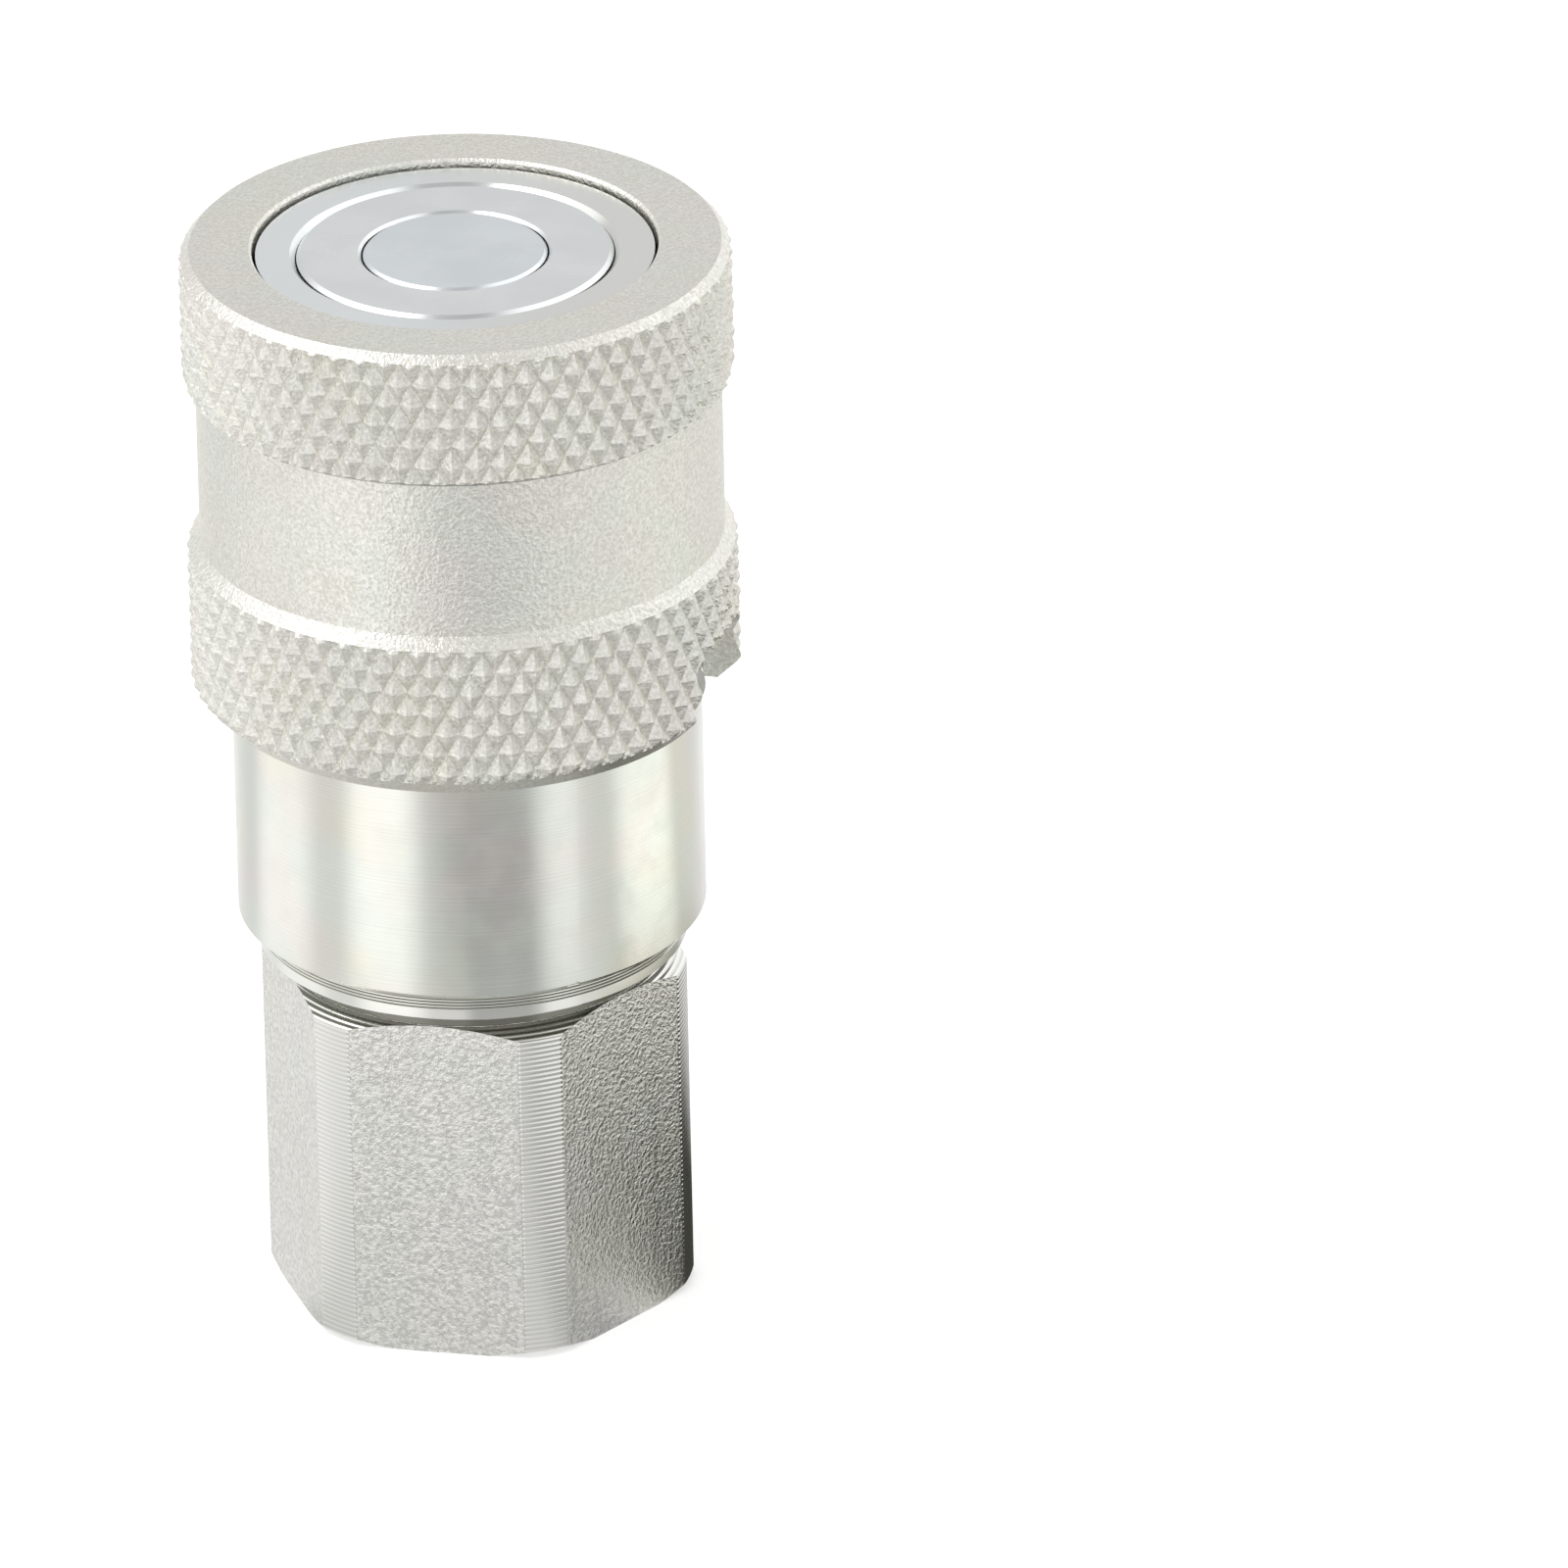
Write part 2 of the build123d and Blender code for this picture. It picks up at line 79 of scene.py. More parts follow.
class Body(Enum):
    """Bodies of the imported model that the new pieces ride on."""

    COUPLER = "coupler_body"
    CARRIER = "sleeve_carrier"
    SLEEVE = "sleeve"


class Graph:
    """Small helper that adds and links the nodes of one material or world."""

    def __init__(self, tree: bpy.types.NodeTree) -> None:
        """Start on an emptied node tree.

        Args:
            tree: Node tree of a material or a world.
        """
        tree.nodes.clear()
        self.tree = tree

    def add(self, kind: str, **settings: object) -> bpy.types.Node:
        """Add one node.

        Args:
            kind: Blender's name of the node type.
            settings: Properties of the node.

        Returns:
            The new node.
        """
        node = self.tree.nodes.new(kind)
        for name, value in settings.items():
            setattr(node, name, value)
        return node

    def feed(self, socket: Socket, value: object) -> None:
        """Link a socket to an input, or write a plain value to it.

        Args:
            socket: The input.
            value: A socket, a number, a colour or a vector.
        """
        if isinstance(value, bpy.types.NodeSocket):
            self.tree.links.new(value, socket)
        elif isinstance(value, tuple) and socket.type == "RGBA" and len(value) == 3:
            socket.default_value = (*value, 1.0)
        else:
            socket.default_value = value

    def math(self, operation: str, *values: object) -> Socket:
        """Add a math node.

        Args:
            operation: Its operation, such as ADD.
            values: Its inputs in order.

        Returns:
            The result.
        """
        node = self.add("ShaderNodeMath", operation=operation)
        for socket, value in zip(node.inputs, values):
            self.feed(socket, value)
        return node.outputs[0]

    def vector(self, operation: str, *values: object) -> bpy.types.Node:
        """Add a vector math node and return it."""
        node = self.add("ShaderNodeVectorMath", operation=operation)
        for socket, value in zip(node.inputs, values):
            self.feed(socket, value)
        return node

    def ramp(
        self, value: object, low: float, high: float, start: object = 0.0, end: object = 1.0
    ) -> Socket:
        """Map a value from one range to another with soft ends.

        Args:
            value: The value.
            low: Where the ramp begins.
            high: Where it ends.
            start: Result at its beginning.
            end: Result at its end.

        Returns:
            The mapped value.
        """
        node = self.add("ShaderNodeMapRange", interpolation_type="SMOOTHSTEP")
        names = ("Value", "From Min", "From Max", "To Min", "To Max")
        for name, number in zip(names, (value, low, high, start, end)):
            self.feed(node.inputs[name], number)
        return node.outputs[0]

    def mix(self, share: object, first: object, second: object, blend: str = "MIX") -> Socket:
        """Mix two colours.

        Args:
            share: Share of the second colour.
            first: First colour.
            second: Second colour.
            blend: Blend mode.

        Returns:
            The mixed colour.
        """
        node = self.add("ShaderNodeMix", data_type="RGBA", blend_type=blend)
        self.feed(node.inputs[0], share)
        self.feed(node.inputs[6], first)
        self.feed(node.inputs[7], second)
        return node.outputs[2]

    def place(self) -> Socket:
        """Object coordinates in millimetres."""
        coordinates = self.add("ShaderNodeTexCoord").outputs["Object"]
        scaled = self.vector("SCALE", coordinates)
        scaled.inputs["Scale"].default_value = 1 / MM
        return scaled.outputs[0]

    def noise(self, place: object, size: float, detail: float = 2.0, rough: float = 0.5) -> Socket:
        """Smooth noise.

        Args:
            place: Coordinates in millimetres.
            size: Size of its spots in millimetres.
            detail: Number of finer layers.
            rough: Strength of the finer layers.

        Returns:
            A value around 0.5.
        """
        node = self.add("ShaderNodeTexNoise")
        self.feed(node.inputs["Vector"], place)
        self.feed(node.inputs["Scale"], 1 / size)
        self.feed(node.inputs["Detail"], detail)
        self.feed(node.inputs["Roughness"], rough)
        return node.outputs["Fac"]

    def bump(self, height: Socket, depth: float, normal: Socket | None = None) -> Socket:
        """Bump from a height.

        Args:
            height: Height between 0 and 1.
            depth: Depth in millimetres that a height of 1 stands for.
            normal: Normal of an earlier bump.

        Returns:
            The bent normal.
        """
        node = self.add("ShaderNodeBump")
        node.inputs["Strength"].default_value = 1.0
        node.inputs["Distance"].default_value = depth * MM
        self.feed(node.inputs["Height"], height)
        if normal is not None:
            self.feed(node.inputs["Normal"], normal)
        return node.outputs[0]

    def flat(self, place: Socket) -> Socket:
        """Place with its height left out."""
        return self.vector("MULTIPLY", place, (1.0, 1.0, 0.0)).outputs[0]

    def radius(self, place: Socket) -> Socket:
        """Distance from the main axis in millimetres."""
        return self.vector("LENGTH", self.flat(place)).outputs["Value"]

    def height(self, place: Socket) -> Socket:
        """Height above the port face in millimetres."""
        node = self.add("ShaderNodeSeparateXYZ")
        self.feed(node.inputs[0], place)
        return node.outputs[2]

    def plated(self, place: Socket, colour: object, share: float) -> Socket:
        """Tint a colour as thin zinc plating does, in soft patches of green, rose and yellow.

        Args:
            place: Coordinates in millimetres.
            colour: Colour of the metal.
            share: Strength of the tints, from 0 to 1.

        Returns:
            The tinted colour.
        """
        green, rose, yellow = (0.93, 1.0, 0.95), (1.0, 0.94, 0.93), (1.0, 0.97, 0.84)
        hue = self.noise(place, 4.5, detail=1.0)
        aside = self.vector("ADD", place, (40.0, 0.0, 0.0)).outputs[0]
        warmth = self.noise(aside, 5.0, detail=1.0)
        film = self.mix(self.ramp(hue, 0.35, 0.65), green, rose)
        film = self.mix(self.ramp(warmth, 0.45, 0.75), film, yellow)
        tinted = self.mix(1.0, colour, film, blend="MULTIPLY")
        return self.mix(share, colour, tinted)

    def turning_lines(self, place: Socket, pitch: float) -> Socket:
        """Noise that changes only across the lines a lathe leaves, on cylinders and on faces.

        Args:
            place: Coordinates in millimetres.
            pitch: Distance of the lines in millimetres.

        Returns:
            A value around 0.5.
        """
        across = self.math("ADD", self.radius(place), self.height(place))
        node = self.add("ShaderNodeTexNoise", noise_dimensions="1D")
        self.feed(node.inputs["W"], across)
        self.feed(node.inputs["Scale"], 1 / pitch)
        self.feed(node.inputs["Detail"], 3.0)
        return node.outputs["Fac"]


@dataclass(frozen=True)
class Surface:
    """What a finish works out for its shader. The stretch is that of gloss across turning lines."""

    colour: Socket
    rough: Socket
    normal: Socket
    metal: float = 1.0
    stretch: float = 0.0


class Finish:
    """Base of the finishes: makes one procedural material."""

    name = "finish"

    def material(self) -> bpy.types.Material:
        """Make the material.

        Returns:
            The material, with its shader linked.
        """
        material = bpy.data.materials.new(self.name)
        material.use_nodes = True
        graph = Graph(material.node_tree)
        surface = self.surface(graph)
        shader = graph.add("ShaderNodeBsdfPrincipled")
        shader.inputs["Metallic"].default_value = surface.metal
        graph.feed(shader.inputs["Base Color"], surface.colour)
        graph.feed(shader.inputs["Roughness"], surface.rough)
        graph.feed(shader.inputs["Normal"], surface.normal)
        if surface.stretch > 0:
            shader.inputs["Anisotropic"].default_value = surface.stretch
            shader.inputs["Anisotropic Rotation"].default_value = 0.25
            tangent = graph.add("ShaderNodeTangent", direction_type="RADIAL", axis="Z")
            graph.feed(shader.inputs["Tangent"], tangent.outputs[0])
        output = graph.add("ShaderNodeOutputMaterial")
        graph.feed(output.inputs["Surface"], shader.outputs[0])
        return material

    def surface(self, graph: Graph) -> Surface:
        """Work out the patterns of this finish.

        Args:
            graph: Helper of the material's node tree.

        Returns:
            What its shader takes.
        """
        raise NotImplementedError


@dataclass(frozen=True)
class BlastedZinc(Finish):
    """Shot-blasted steel with bright zinc plating: near white, with a fine leathery grain and painted
    glints.
    """

    name: str = "blasted_zinc"
    pale: Colour = (0.93, 0.92, 0.875)
    deep: Colour = (0.76, 0.75, 0.70)
    # Painted glint: near-white colour where the grain is highest.
    painted_glint: Colour = (1.0, 1.0, 0.98)
    # Painted shadow: a dark line on the waist just under the upper band's shoulder.
    shoulder_shadow: Colour = (0.42, 0.42, 0.38)
    shoulder_shadow_z: float = 50.74
    shoulder_shadow_width: float = 0.10
    grain_size: float = 0.18
    grain_depth: float = 0.07
    dimple_size: float = 0.4
    dimple_depth: float = 0.04
    tint_share: float = 0.25
    roughness: float = 0.40

    def surface(self, graph: Graph) -> Surface:
        """Grain of two sizes in colour, roughness and bump, with painted glints on its highest spots, a
        painted shadow line under the upper band and a soft tint in patches.
        """
        place = graph.place()
        grain = graph.noise(place, self.grain_size, detail=2.0, rough=0.6)
        dimple = graph.noise(place, self.dimple_size, detail=1.0)
        colour = graph.mix(graph.ramp(grain, 0.33, 0.67), self.deep, self.pale)
        tinted = graph.plated(place, colour, self.tint_share)
        # Painted glints: near-white colour on the grain's highest spots.
        bright = graph.mix(graph.ramp(grain, 0.66, 0.74), tinted, self.painted_glint)
        # Painted shadow line under the upper band's shoulder.
        off_shoulder_shadow = graph.math("ABSOLUTE", graph.math("SUBTRACT", graph.height(place), self.shoulder_shadow_z))
        clear = graph.ramp(off_shoulder_shadow, self.shoulder_shadow_width / 2, self.shoulder_shadow_width)
        rough = graph.ramp(grain, 0.2, 0.8, self.roughness + 0.08, self.roughness - 0.08)
        coarse = graph.bump(dimple, self.dimple_depth)
        fine = graph.bump(grain, self.grain_depth, normal=coarse)
        return Surface(graph.mix(clear, self.shoulder_shadow, bright), rough, fine)


@dataclass(frozen=True)
class TurnedZinc(Finish):
    """Lathe-turned steel with bright zinc plating: satin, with fine lines around the axis."""

    name: str = "turned_zinc"
    pale: Colour = (0.84, 0.84, 0.80)
    deep: Colour = (0.77, 0.77, 0.735)
    faced: Colour = (0.90, 0.935, 0.945)
    # Painted reflection: the front face turns to this darker, warmer colour towards +X, the object's right
    # as the camera sees it.
    faced_painted_reflection: Colour = (0.845, 0.85, 0.82)
    faced_from_z: float = 57.0
    painted_reflection_side: tuple[float, float, float] = (0.98, 0.21, 0.0)
    line_pitch: float = 0.06
    line_depth: float = 0.0012
    cloud_size: float = 1.6
    roughness: float = 0.21
    stretch: float = 0.75
    tint_share: float = 0.6

    def surface(self, graph: Graph) -> Surface:
        """Turning lines in bump and colour, with gloss stretched across them, and a bluish front face that
        turns darker and warmer towards +X as a painted reflection.
        """
        place = graph.place()
        lines = graph.turning_lines(place, self.line_pitch)
        cloud = graph.noise(place, self.cloud_size, detail=3.0)
        colour = graph.mix(graph.ramp(lines, 0.25, 0.75), self.deep, self.pale)
        tinted = graph.plated(place, colour, self.tint_share)
        front = graph.ramp(graph.height(place), self.faced_from_z, self.faced_from_z + 0.3)
        # Painted reflection on the +X side of the front face.
        side = graph.vector("DOT_PRODUCT", place, self.painted_reflection_side).outputs["Value"]
        face = graph.mix(graph.ramp(side, -4.0, 8.0), self.faced, self.faced_painted_reflection)
        rough = graph.ramp(cloud, 0.35, 0.75, self.roughness, self.roughness + 0.05)
        lined = graph.bump(lines, self.line_depth)
        return Surface(graph.mix(front, tinted, face), rough, lined, stretch=self.stretch)


@dataclass(frozen=True)
class MilledHexZinc(Finish):
    """Zinc plated hexagon bar: leathery flats, lined corners and crown, and a smooth lined neck."""

    flat_r: float
    hex_top_z: float
    name: str = "hex_zinc"
    # The flats' pale and deep colours follow the pits' height: painted shade in the valleys, paler on the
    # raised spots.
    pale: Colour = (0.985, 0.975, 0.93)
    deep: Colour = (0.73, 0.725, 0.69)
    crest: Colour = (0.95, 0.95, 0.91)
    # Painted shade: the turning lines' grooves darker than their crests.
    groove: Colour = (0.79, 0.79, 0.76)
    neck: Colour = (0.84, 0.84, 0.80)
    # Painted shade in the neck groove and the grooves of the neck ring's lines.
    neck_painted_shade: Colour = (0.24, 0.24, 0.21)
    neck_smooth_r: float = 10.99
    pit_size: float = 0.22
    pit_depth: float = 0.13
    turned_from_r: float = 10.93
    raggedness: float = 0.08
    line_pitch: float = 0.27
    line_depth: float = 0.022
    line_lean: float = 0.4
    roughness: float = 0.30
    turned_roughness: float = 0.22
    neck_roughness: float = 0.14
    tint_share: float = 0.15

    def surface(self, graph: Graph) -> Surface:
        """Pits on the flats and turning lines on the corners and the crown, each with painted shade in its
        hollows, and painted shade in the grooves of the neck.
        """
        place = graph.place()
        radius = graph.radius(place)
        height = graph.height(place)
        pits = graph.noise(place, self.pit_size, detail=2.0, rough=0.6)
        ragged = graph.math("MULTIPLY_ADD", pits, self.raggedness, radius)
        from_r = self.turned_from_r + self.raggedness / 2
        corner = graph.ramp(ragged, from_r - NEAR, from_r + NEAR)
        cone = graph.math("MULTIPLY_ADD", radius, CHAMFER_SLOPE, height)
        crown_from = self.hex_top_z + CHAMFER_SLOPE * self.flat_r
        crown = graph.ramp(cone, crown_from - 3 * NEAR, crown_from - NEAR)
        neck = graph.ramp(height, self.hex_top_z, self.hex_top_z + 0.05)
        machined = graph.math("MAXIMUM", corner, crown)
        across = graph.math("MULTIPLY_ADD", radius, -self.line_lean, height)
        turns = graph.math("MULTIPLY", across, 2 * math.pi / self.line_pitch)
        wave = graph.math("MULTIPLY_ADD", graph.math("SINE", turns), 0.5, 0.5)
        # Painted shade: the pits' valleys darker, their raised spots paler.
        flat = graph.mix(graph.ramp(pits, 0.34, 0.66), self.deep, self.pale)
        # Painted shade in the grooves of the turning lines on the corners and the crown.
        turned = graph.mix(wave, self.groove, self.crest)
        # Painted shade: inside this radius, above the hexagon, the dark colour takes over.
        smooth = graph.ramp(radius, self.neck_smooth_r - 0.05, self.neck_smooth_r)
        ring = graph.mix(smooth, self.neck_painted_shade, self.neck)
        colour = graph.mix(neck, graph.mix(machined, flat, turned), ring)
        hexagon_rough = graph.ramp(machined, 0.0, 1.0, self.roughness, self.turned_roughness)
        rough = graph.ramp(neck, 0.0, 1.0, hexagon_rough, self.neck_roughness)
        on_flats = graph.math("SUBTRACT", 1.0, machined)
        pitted = graph.bump(graph.math("MULTIPLY", pits, on_flats), self.pit_depth)
        on_lines = graph.math("MULTIPLY", machined, graph.math("SUBTRACT", 1.0, neck))
        lined = graph.bump(graph.math("MULTIPLY", wave, on_lines), self.line_depth, normal=pitted)
        return Surface(graph.plated(place, colour, self.tint_share), rough, lined)


@dataclass(frozen=True)
class FacedSteel(Finish):
    """Faced and plated ring or disc, with faint rings around the axis."""

    name: str = "faced_steel"
    pale: Colour = (0.84, 0.855, 0.85)
    deep: Colour = (0.79, 0.81, 0.81)
    line_pitch: float = 0.09
    line_depth: float = 0.0006
    cloud_size: float = 3.0
    roughness: float = 0.24
    stretch: float = 0.3

    def surface(self, graph: Graph) -> Surface:
        """Faint rings and clouds."""
        place = graph.place()
        lines = graph.turning_lines(place, self.line_pitch)
        cloud = graph.noise(place, self.cloud_size, detail=2.0)
        share = graph.math("MULTIPLY_ADD", lines, 0.3, graph.math("MULTIPLY", cloud, 0.7))
        colour = graph.mix(graph.ramp(share, 0.35, 0.65), self.deep, self.pale)
        rough = graph.ramp(cloud, 0.3, 0.7, self.roughness, self.roughness + 0.05)
        lined = graph.bump(lines, self.line_depth)
        return Surface(colour, rough, lined, stretch=self.stretch)


@dataclass(frozen=True)
class PlainSteel(Finish):
    """Steel of the inner pieces, balls and springs."""

    name: str = "inner_steel_finish"
    colour: Colour = (0.56, 0.57, 0.58)
    shade: Colour = (0.42, 0.43, 0.44)
    roughness: float = 0.25
    spot_size: float = 0.8
    spot_depth: float = 0.004

    def surface(self, graph: Graph) -> Surface:
        """Clouds of oil film in colour and roughness."""
        place = graph.place()
        cloud = graph.noise(place, self.spot_size, detail=3.0)
        colour = graph.mix(graph.ramp(cloud, 0.35, 0.7), self.shade, self.colour)
        rough = graph.ramp(cloud, 0.3, 0.7, self.roughness, self.roughness + 0.12)
        return Surface(colour, rough, graph.bump(cloud, self.spot_depth))


@dataclass(frozen=True)
class MouldedSeal(Finish):
    """Rubber or plastic of the seals."""

    name: str = "seal_finish"
    colour: Colour = (0.018, 0.018, 0.020)
    shade: Colour = (0.008, 0.008, 0.009)
    roughness: float = 0.5
    grain_size: float = 0.2
    grain_depth: float = 0.006

    def surface(self, graph: Graph) -> Surface:
        """Fine moulded grain."""
        place = graph.place()
        grain = graph.noise(place, self.grain_size, detail=2.0)
        colour = graph.mix(grain, self.shade, self.colour)
        rough = graph.ramp(grain, 0.3, 0.7, self.roughness, self.roughness + 0.15)
        return Surface(colour, rough, graph.bump(grain, self.grain_depth), metal=0.0)


def new_piece(name: str, shape: bmesh.types.BMesh) -> bpy.types.Object:
    """Make an object of a finished bmesh, with its normals outward.

    Args:
        name: Name of the piece.
        shape: The mesh in metres. It is freed.

    Returns:
        The object, at the origin, linked to the scene.
    """
    bmesh.ops.remove_doubles(shape, verts=shape.verts[:], dist=1e-7)
    bmesh.ops.recalc_face_normals(shape, faces=shape.faces[:])
    mesh = bpy.data.meshes.new(name)
    shape.to_mesh(mesh)
    shape.free()
    piece = bpy.data.objects.new(name, mesh)
    bpy.context.scene.collection.objects.link(piece)
    return piece


def shade(piece: bpy.types.Object, sharp_from: float) -> None:
    """Shade a piece smooth, apart from its edges.

    Args:
        piece: New piece, with all its cuts made.
        sharp_from: Angle in degrees from which an edge stays sharp.
    """
    piece.data.shade_smooth()
    piece.data.set_sharp_from_angle(angle=math.radians(sharp_from))


def chain(shape: bmesh.types.BMesh, points: Sequence[ProfilePoint]) -> list[bmesh.types.BMEdge]:
    """Closed chain of edges in the XZ plane, for a spin around the main axis.

    Args:
        shape: Mesh that takes the chain.
        points: Radius and height of each corner in millimetres.

    Returns:
        The edges.
    """
    corners = [shape.verts.new((radius * MM, 0.0, height * MM)) for radius, height in points]
    return [shape.edges.new((corners[index - 1], corners[index])) for index in range(len(corners))]


def spun(points: Sequence[ProfilePoint], steps: int) -> bmesh.types.BMesh:
    """Ring of a closed profile, spun around the main axis.

    Args:
        points: Radius and height of each corner in millimetres.
        steps: Number of steps around.

    Returns:
        The mesh.
    """
    shape = bmesh.new()
    edges = chain(shape, points)
    bmesh.ops.spin(
        shape, geom=[*shape.verts, *edges], angle=2 * math.pi, steps=steps, axis=(0, 0, 1),
        cent=(0, 0, 0), use_merge=True,
    )
    return shape


def subtract(piece: bpy.types.Object, cutter: bpy.types.Object) -> None:
    """Cut one mesh out of another and remove the cutter.

    Args:
        piece: Piece that is cut. Its mesh is replaced.
        cutter: Closed mesh to take away.
    """
    cut = piece.modifiers.new("cut", "BOOLEAN")
    cut.operation = "DIFFERENCE"
    cut.solver = "EXACT"
    cut.object = cutter
    bpy.context.view_layer.update()
    evaluated = piece.evaluated_get(bpy.context.evaluated_depsgraph_get())
    mesh = bpy.data.meshes.new_from_object(evaluated)
    piece.modifiers.remove(cut)
    old = piece.data
    piece.data = mesh
    bpy.data.meshes.remove(old)
    bpy.data.objects.remove(cutter)


def dress(piece: bpy.types.Object, material: bpy.types.Material) -> None:
    """Give a piece one material, whatever slots it has.

    Args:
        piece: New piece or carried-over node.
        material: The material.
    """
    if not piece.data.materials:
        piece.data.materials.append(material)
    for entry in piece.material_slots:
        entry.material = material


def turn_and_height(corner: Vector) -> tuple[float, float]:
    """Angle around the main axis in radians and height in millimetres of a point in metres."""
    return math.atan2(corner.y, corner.x), corner.z / MM


@dataclass
class LockingSleeve:
    """Knurled sleeve with two grip bands, a waist between them and a notch in its rear edge.

    Sizes are in millimetres. Heights are above the port face. The wear is the share of a crest's
    rise that is worn, and worn_rise is what is left of it. The row gap is a share of a row.
    """

    low_z: float
    high_z: float
    crest_r: float
    knurl_depth: float = 0.44
    knurl_count: int = 66
    knurl_strip: float = 1.12
    fineness: int = 6
    wear: float = 0.16
    worn_rise: float = 0.45
    dent_depth: float = 0.05
    dent_size: float = 0.45
    waist_r: float = 13.38
    waist_low_z: float = 42.3
    waist_high_z: float = 50.75
    ramp_rise: float = 0.85
    lower_net_z: float = 34.73
    runout: float = 0.18
    shoulder_rise: float = 0.36
    shoulder_step: float = 0.10
    face_chamfer: float = 0.60
    rear_chamfer: float = 1.30
    bore_r: float = 12.08
    land_r: float = 10.18
    land_low_z: float = 47.12
    land_top_z: float = 50.12
    relief_r: float = 11.5
    lip_r: float = 10.32
    lip_thickness: float = 1.0
    lip_chamfer: float = 0.14
    notch_angle: float = -4.0
    notch_width: float = 7.3
    notch_height: float = 4.5
    notch_corner_r: float = 1.5
    notch_corner_steps: int = 10
    row_gap: float = 0.2
    sharp_from: float = 24.0

    def envelope(self, height: float) -> float:
        """Radius of the turned blank at a height.

        Args:
            height: Height in millimetres.

        Returns:
            Radius in millimetres.
        """
        ramp_foot = self.waist_low_z - self.ramp_rise
        if height < self.low_z + self.rear_chamfer:
            return self.crest_r - (self.low_z + self.rear_chamfer - height)
        if height < ramp_foot:
            return self.crest_r
        if height < self.waist_low_z:
            share = (height - ramp_foot) / self.ramp_rise
            return self.crest_r + share * (self.waist_r - self.crest_r)
        if height < self.waist_high_z + NEAR:
            return self.waist_r
        shoulder_r = self.waist_r + self.shoulder_step
        slope = (self.crest_r - shoulder_r) / self.shoulder_rise
        under = shoulder_r + (height - self.waist_high_z) * slope
        return min(self.crest_r, under, self.crest_r - (height - self.high_z + self.face_chamfer))

    def pyramid(self, turn: float, height: float, net_z: float) -> float:
        """Height of the knurl between groove and crest.

        Args:
            turn: Angle around the axis in radians.
            height: Height in millimetres.
            net_z: Height of a row of crests.

        Returns:
            0 in a groove, 1 on a crest.
        """
        along = turn * self.knurl_count / math.pi
        up = (height - net_z) / self.knurl_strip
        rise = 1.0
        for helix in ((along + up) / 2, (along - up) / 2):
            rise = min(rise, 1 - 2 * abs(helix - round(helix)))
        worn = 1 - self.wear
        if rise > worn:
            rise = worn + (rise - worn) * self.worn_rise
        return rise

    def knurled_r(self, corner: Vector, net_z: float) -> float:
        """Radius of the knurled surface, with the blasting's dents, inside the turned blank.

        Args:
            corner: Point in metres.
            net_z: Height of a row of crests.

        Returns:
            Radius in millimetres.
        """
        turn, height = turn_and_height(corner)
        net_top_z, ring_z = self.runout_span(net_z)
        root_r = self.crest_r - self.knurl_depth
        radius = root_r + self.knurl_depth * self.pyramid(turn, min(height, net_top_z), net_z)
        dent = noise.noise(corner / (self.dent_size * MM)) * self.dent_depth
        blank = self.envelope(height)
        radius = min(radius + dent, blank)
        filled = min(max((height - net_top_z) / (ring_z - net_top_z), 0.0), 1.0)
        return radius + filled * (blank - radius)

    def runout_span(self, net_z: float) -> tuple[float, float]:
        """Heights between which the grooves run out at the top of a band.

        Args:
            net_z: Height of the band's lowest row of crests.

        Returns:
            Height of the last row of crests, and height at which the grooves have ended.
        """
        ramp_foot = self.waist_low_z - self.ramp_rise
        if net_z < ramp_foot:
            slope = self.ramp_rise / (self.crest_r - self.waist_r)
            return ramp_foot, ramp_foot + self.runout * slope
        ring_z = self.high_z - self.face_chamfer + self.runout
        strips = int((ring_z - net_z) / self.knurl_strip)
        return net_z + strips * self.knurl_strip, ring_z

    def band_rows(self, low: float, high: float, net_z: float, edges: Iterable[float]) -> list[float]:
        """Heights of the rows of one band: the knurl's own rows and the edges of the blank.

        Args:
            low: Lower end of the band.
            high: Upper end of the band.
            net_z: Height of a row of crests.
            edges: Heights at which the blank has an edge.

        Returns:
            Heights from low to high.
        """
        step = self.knurl_strip / self.fineness
        first = math.ceil((low - net_z) / step + self.row_gap)
        last = math.floor((high - net_z) / step - self.row_gap)
        rows = {round(net_z + index * step, 4) for index in range(first, last + 1)}
        rows = {row for row in rows if all(abs(row - edge) > self.row_gap * step for edge in edges)}
        return sorted(rows | {low, high} | set(edges))

    def shape(self) -> bmesh.types.BMesh:
        """Spin the profile and raise the knurl on its bands.

        Returns:
            Closed mesh of the sleeve without its notch.
        """
        chamfer_z = self.low_z + self.rear_chamfer
        lower_edges = (chamfer_z - self.knurl_depth, chamfer_z, *self.runout_span(self.lower_net_z))
        lower = self.band_rows(self.low_z, self.waist_low_z, self.lower_net_z, lower_edges)
        upper_edges = (
            self.waist_high_z + self.shoulder_rise,
            self.high_z - self.face_chamfer,
            *self.runout_span(self.waist_high_z),
        )
        upper = self.band_rows(self.waist_high_z, self.high_z, self.waist_high_z, upper_edges)
        lip_z = self.high_z - self.lip_thickness
        profile = [(self.bore_r, self.low_z)]
        profile += [(self.crest_r, row) for row in lower]
        profile += [(self.waist_r, self.waist_low_z + 2 * NEAR), (self.waist_r, self.waist_high_z)]
        profile += [(self.crest_r, row) for row in upper]
        profile += [
            (self.lip_r + self.lip_chamfer, self.high_z),
            (self.lip_r, self.high_z - self.lip_chamfer),
            (self.lip_r, lip_z),
            (self.relief_r, lip_z),
            (self.relief_r, self.land_top_z + self.relief_r - self.land_r),
            (self.land_r, self.land_top_z),
            (self.land_r, self.land_low_z),
            (self.bore_r, self.land_low_z),
        ]
        shape = spun(profile, 2 * self.knurl_count * self.fineness)
        for corner in shape.verts:
            self.raise_corner(corner)
        self.crease(shape)
        return shape

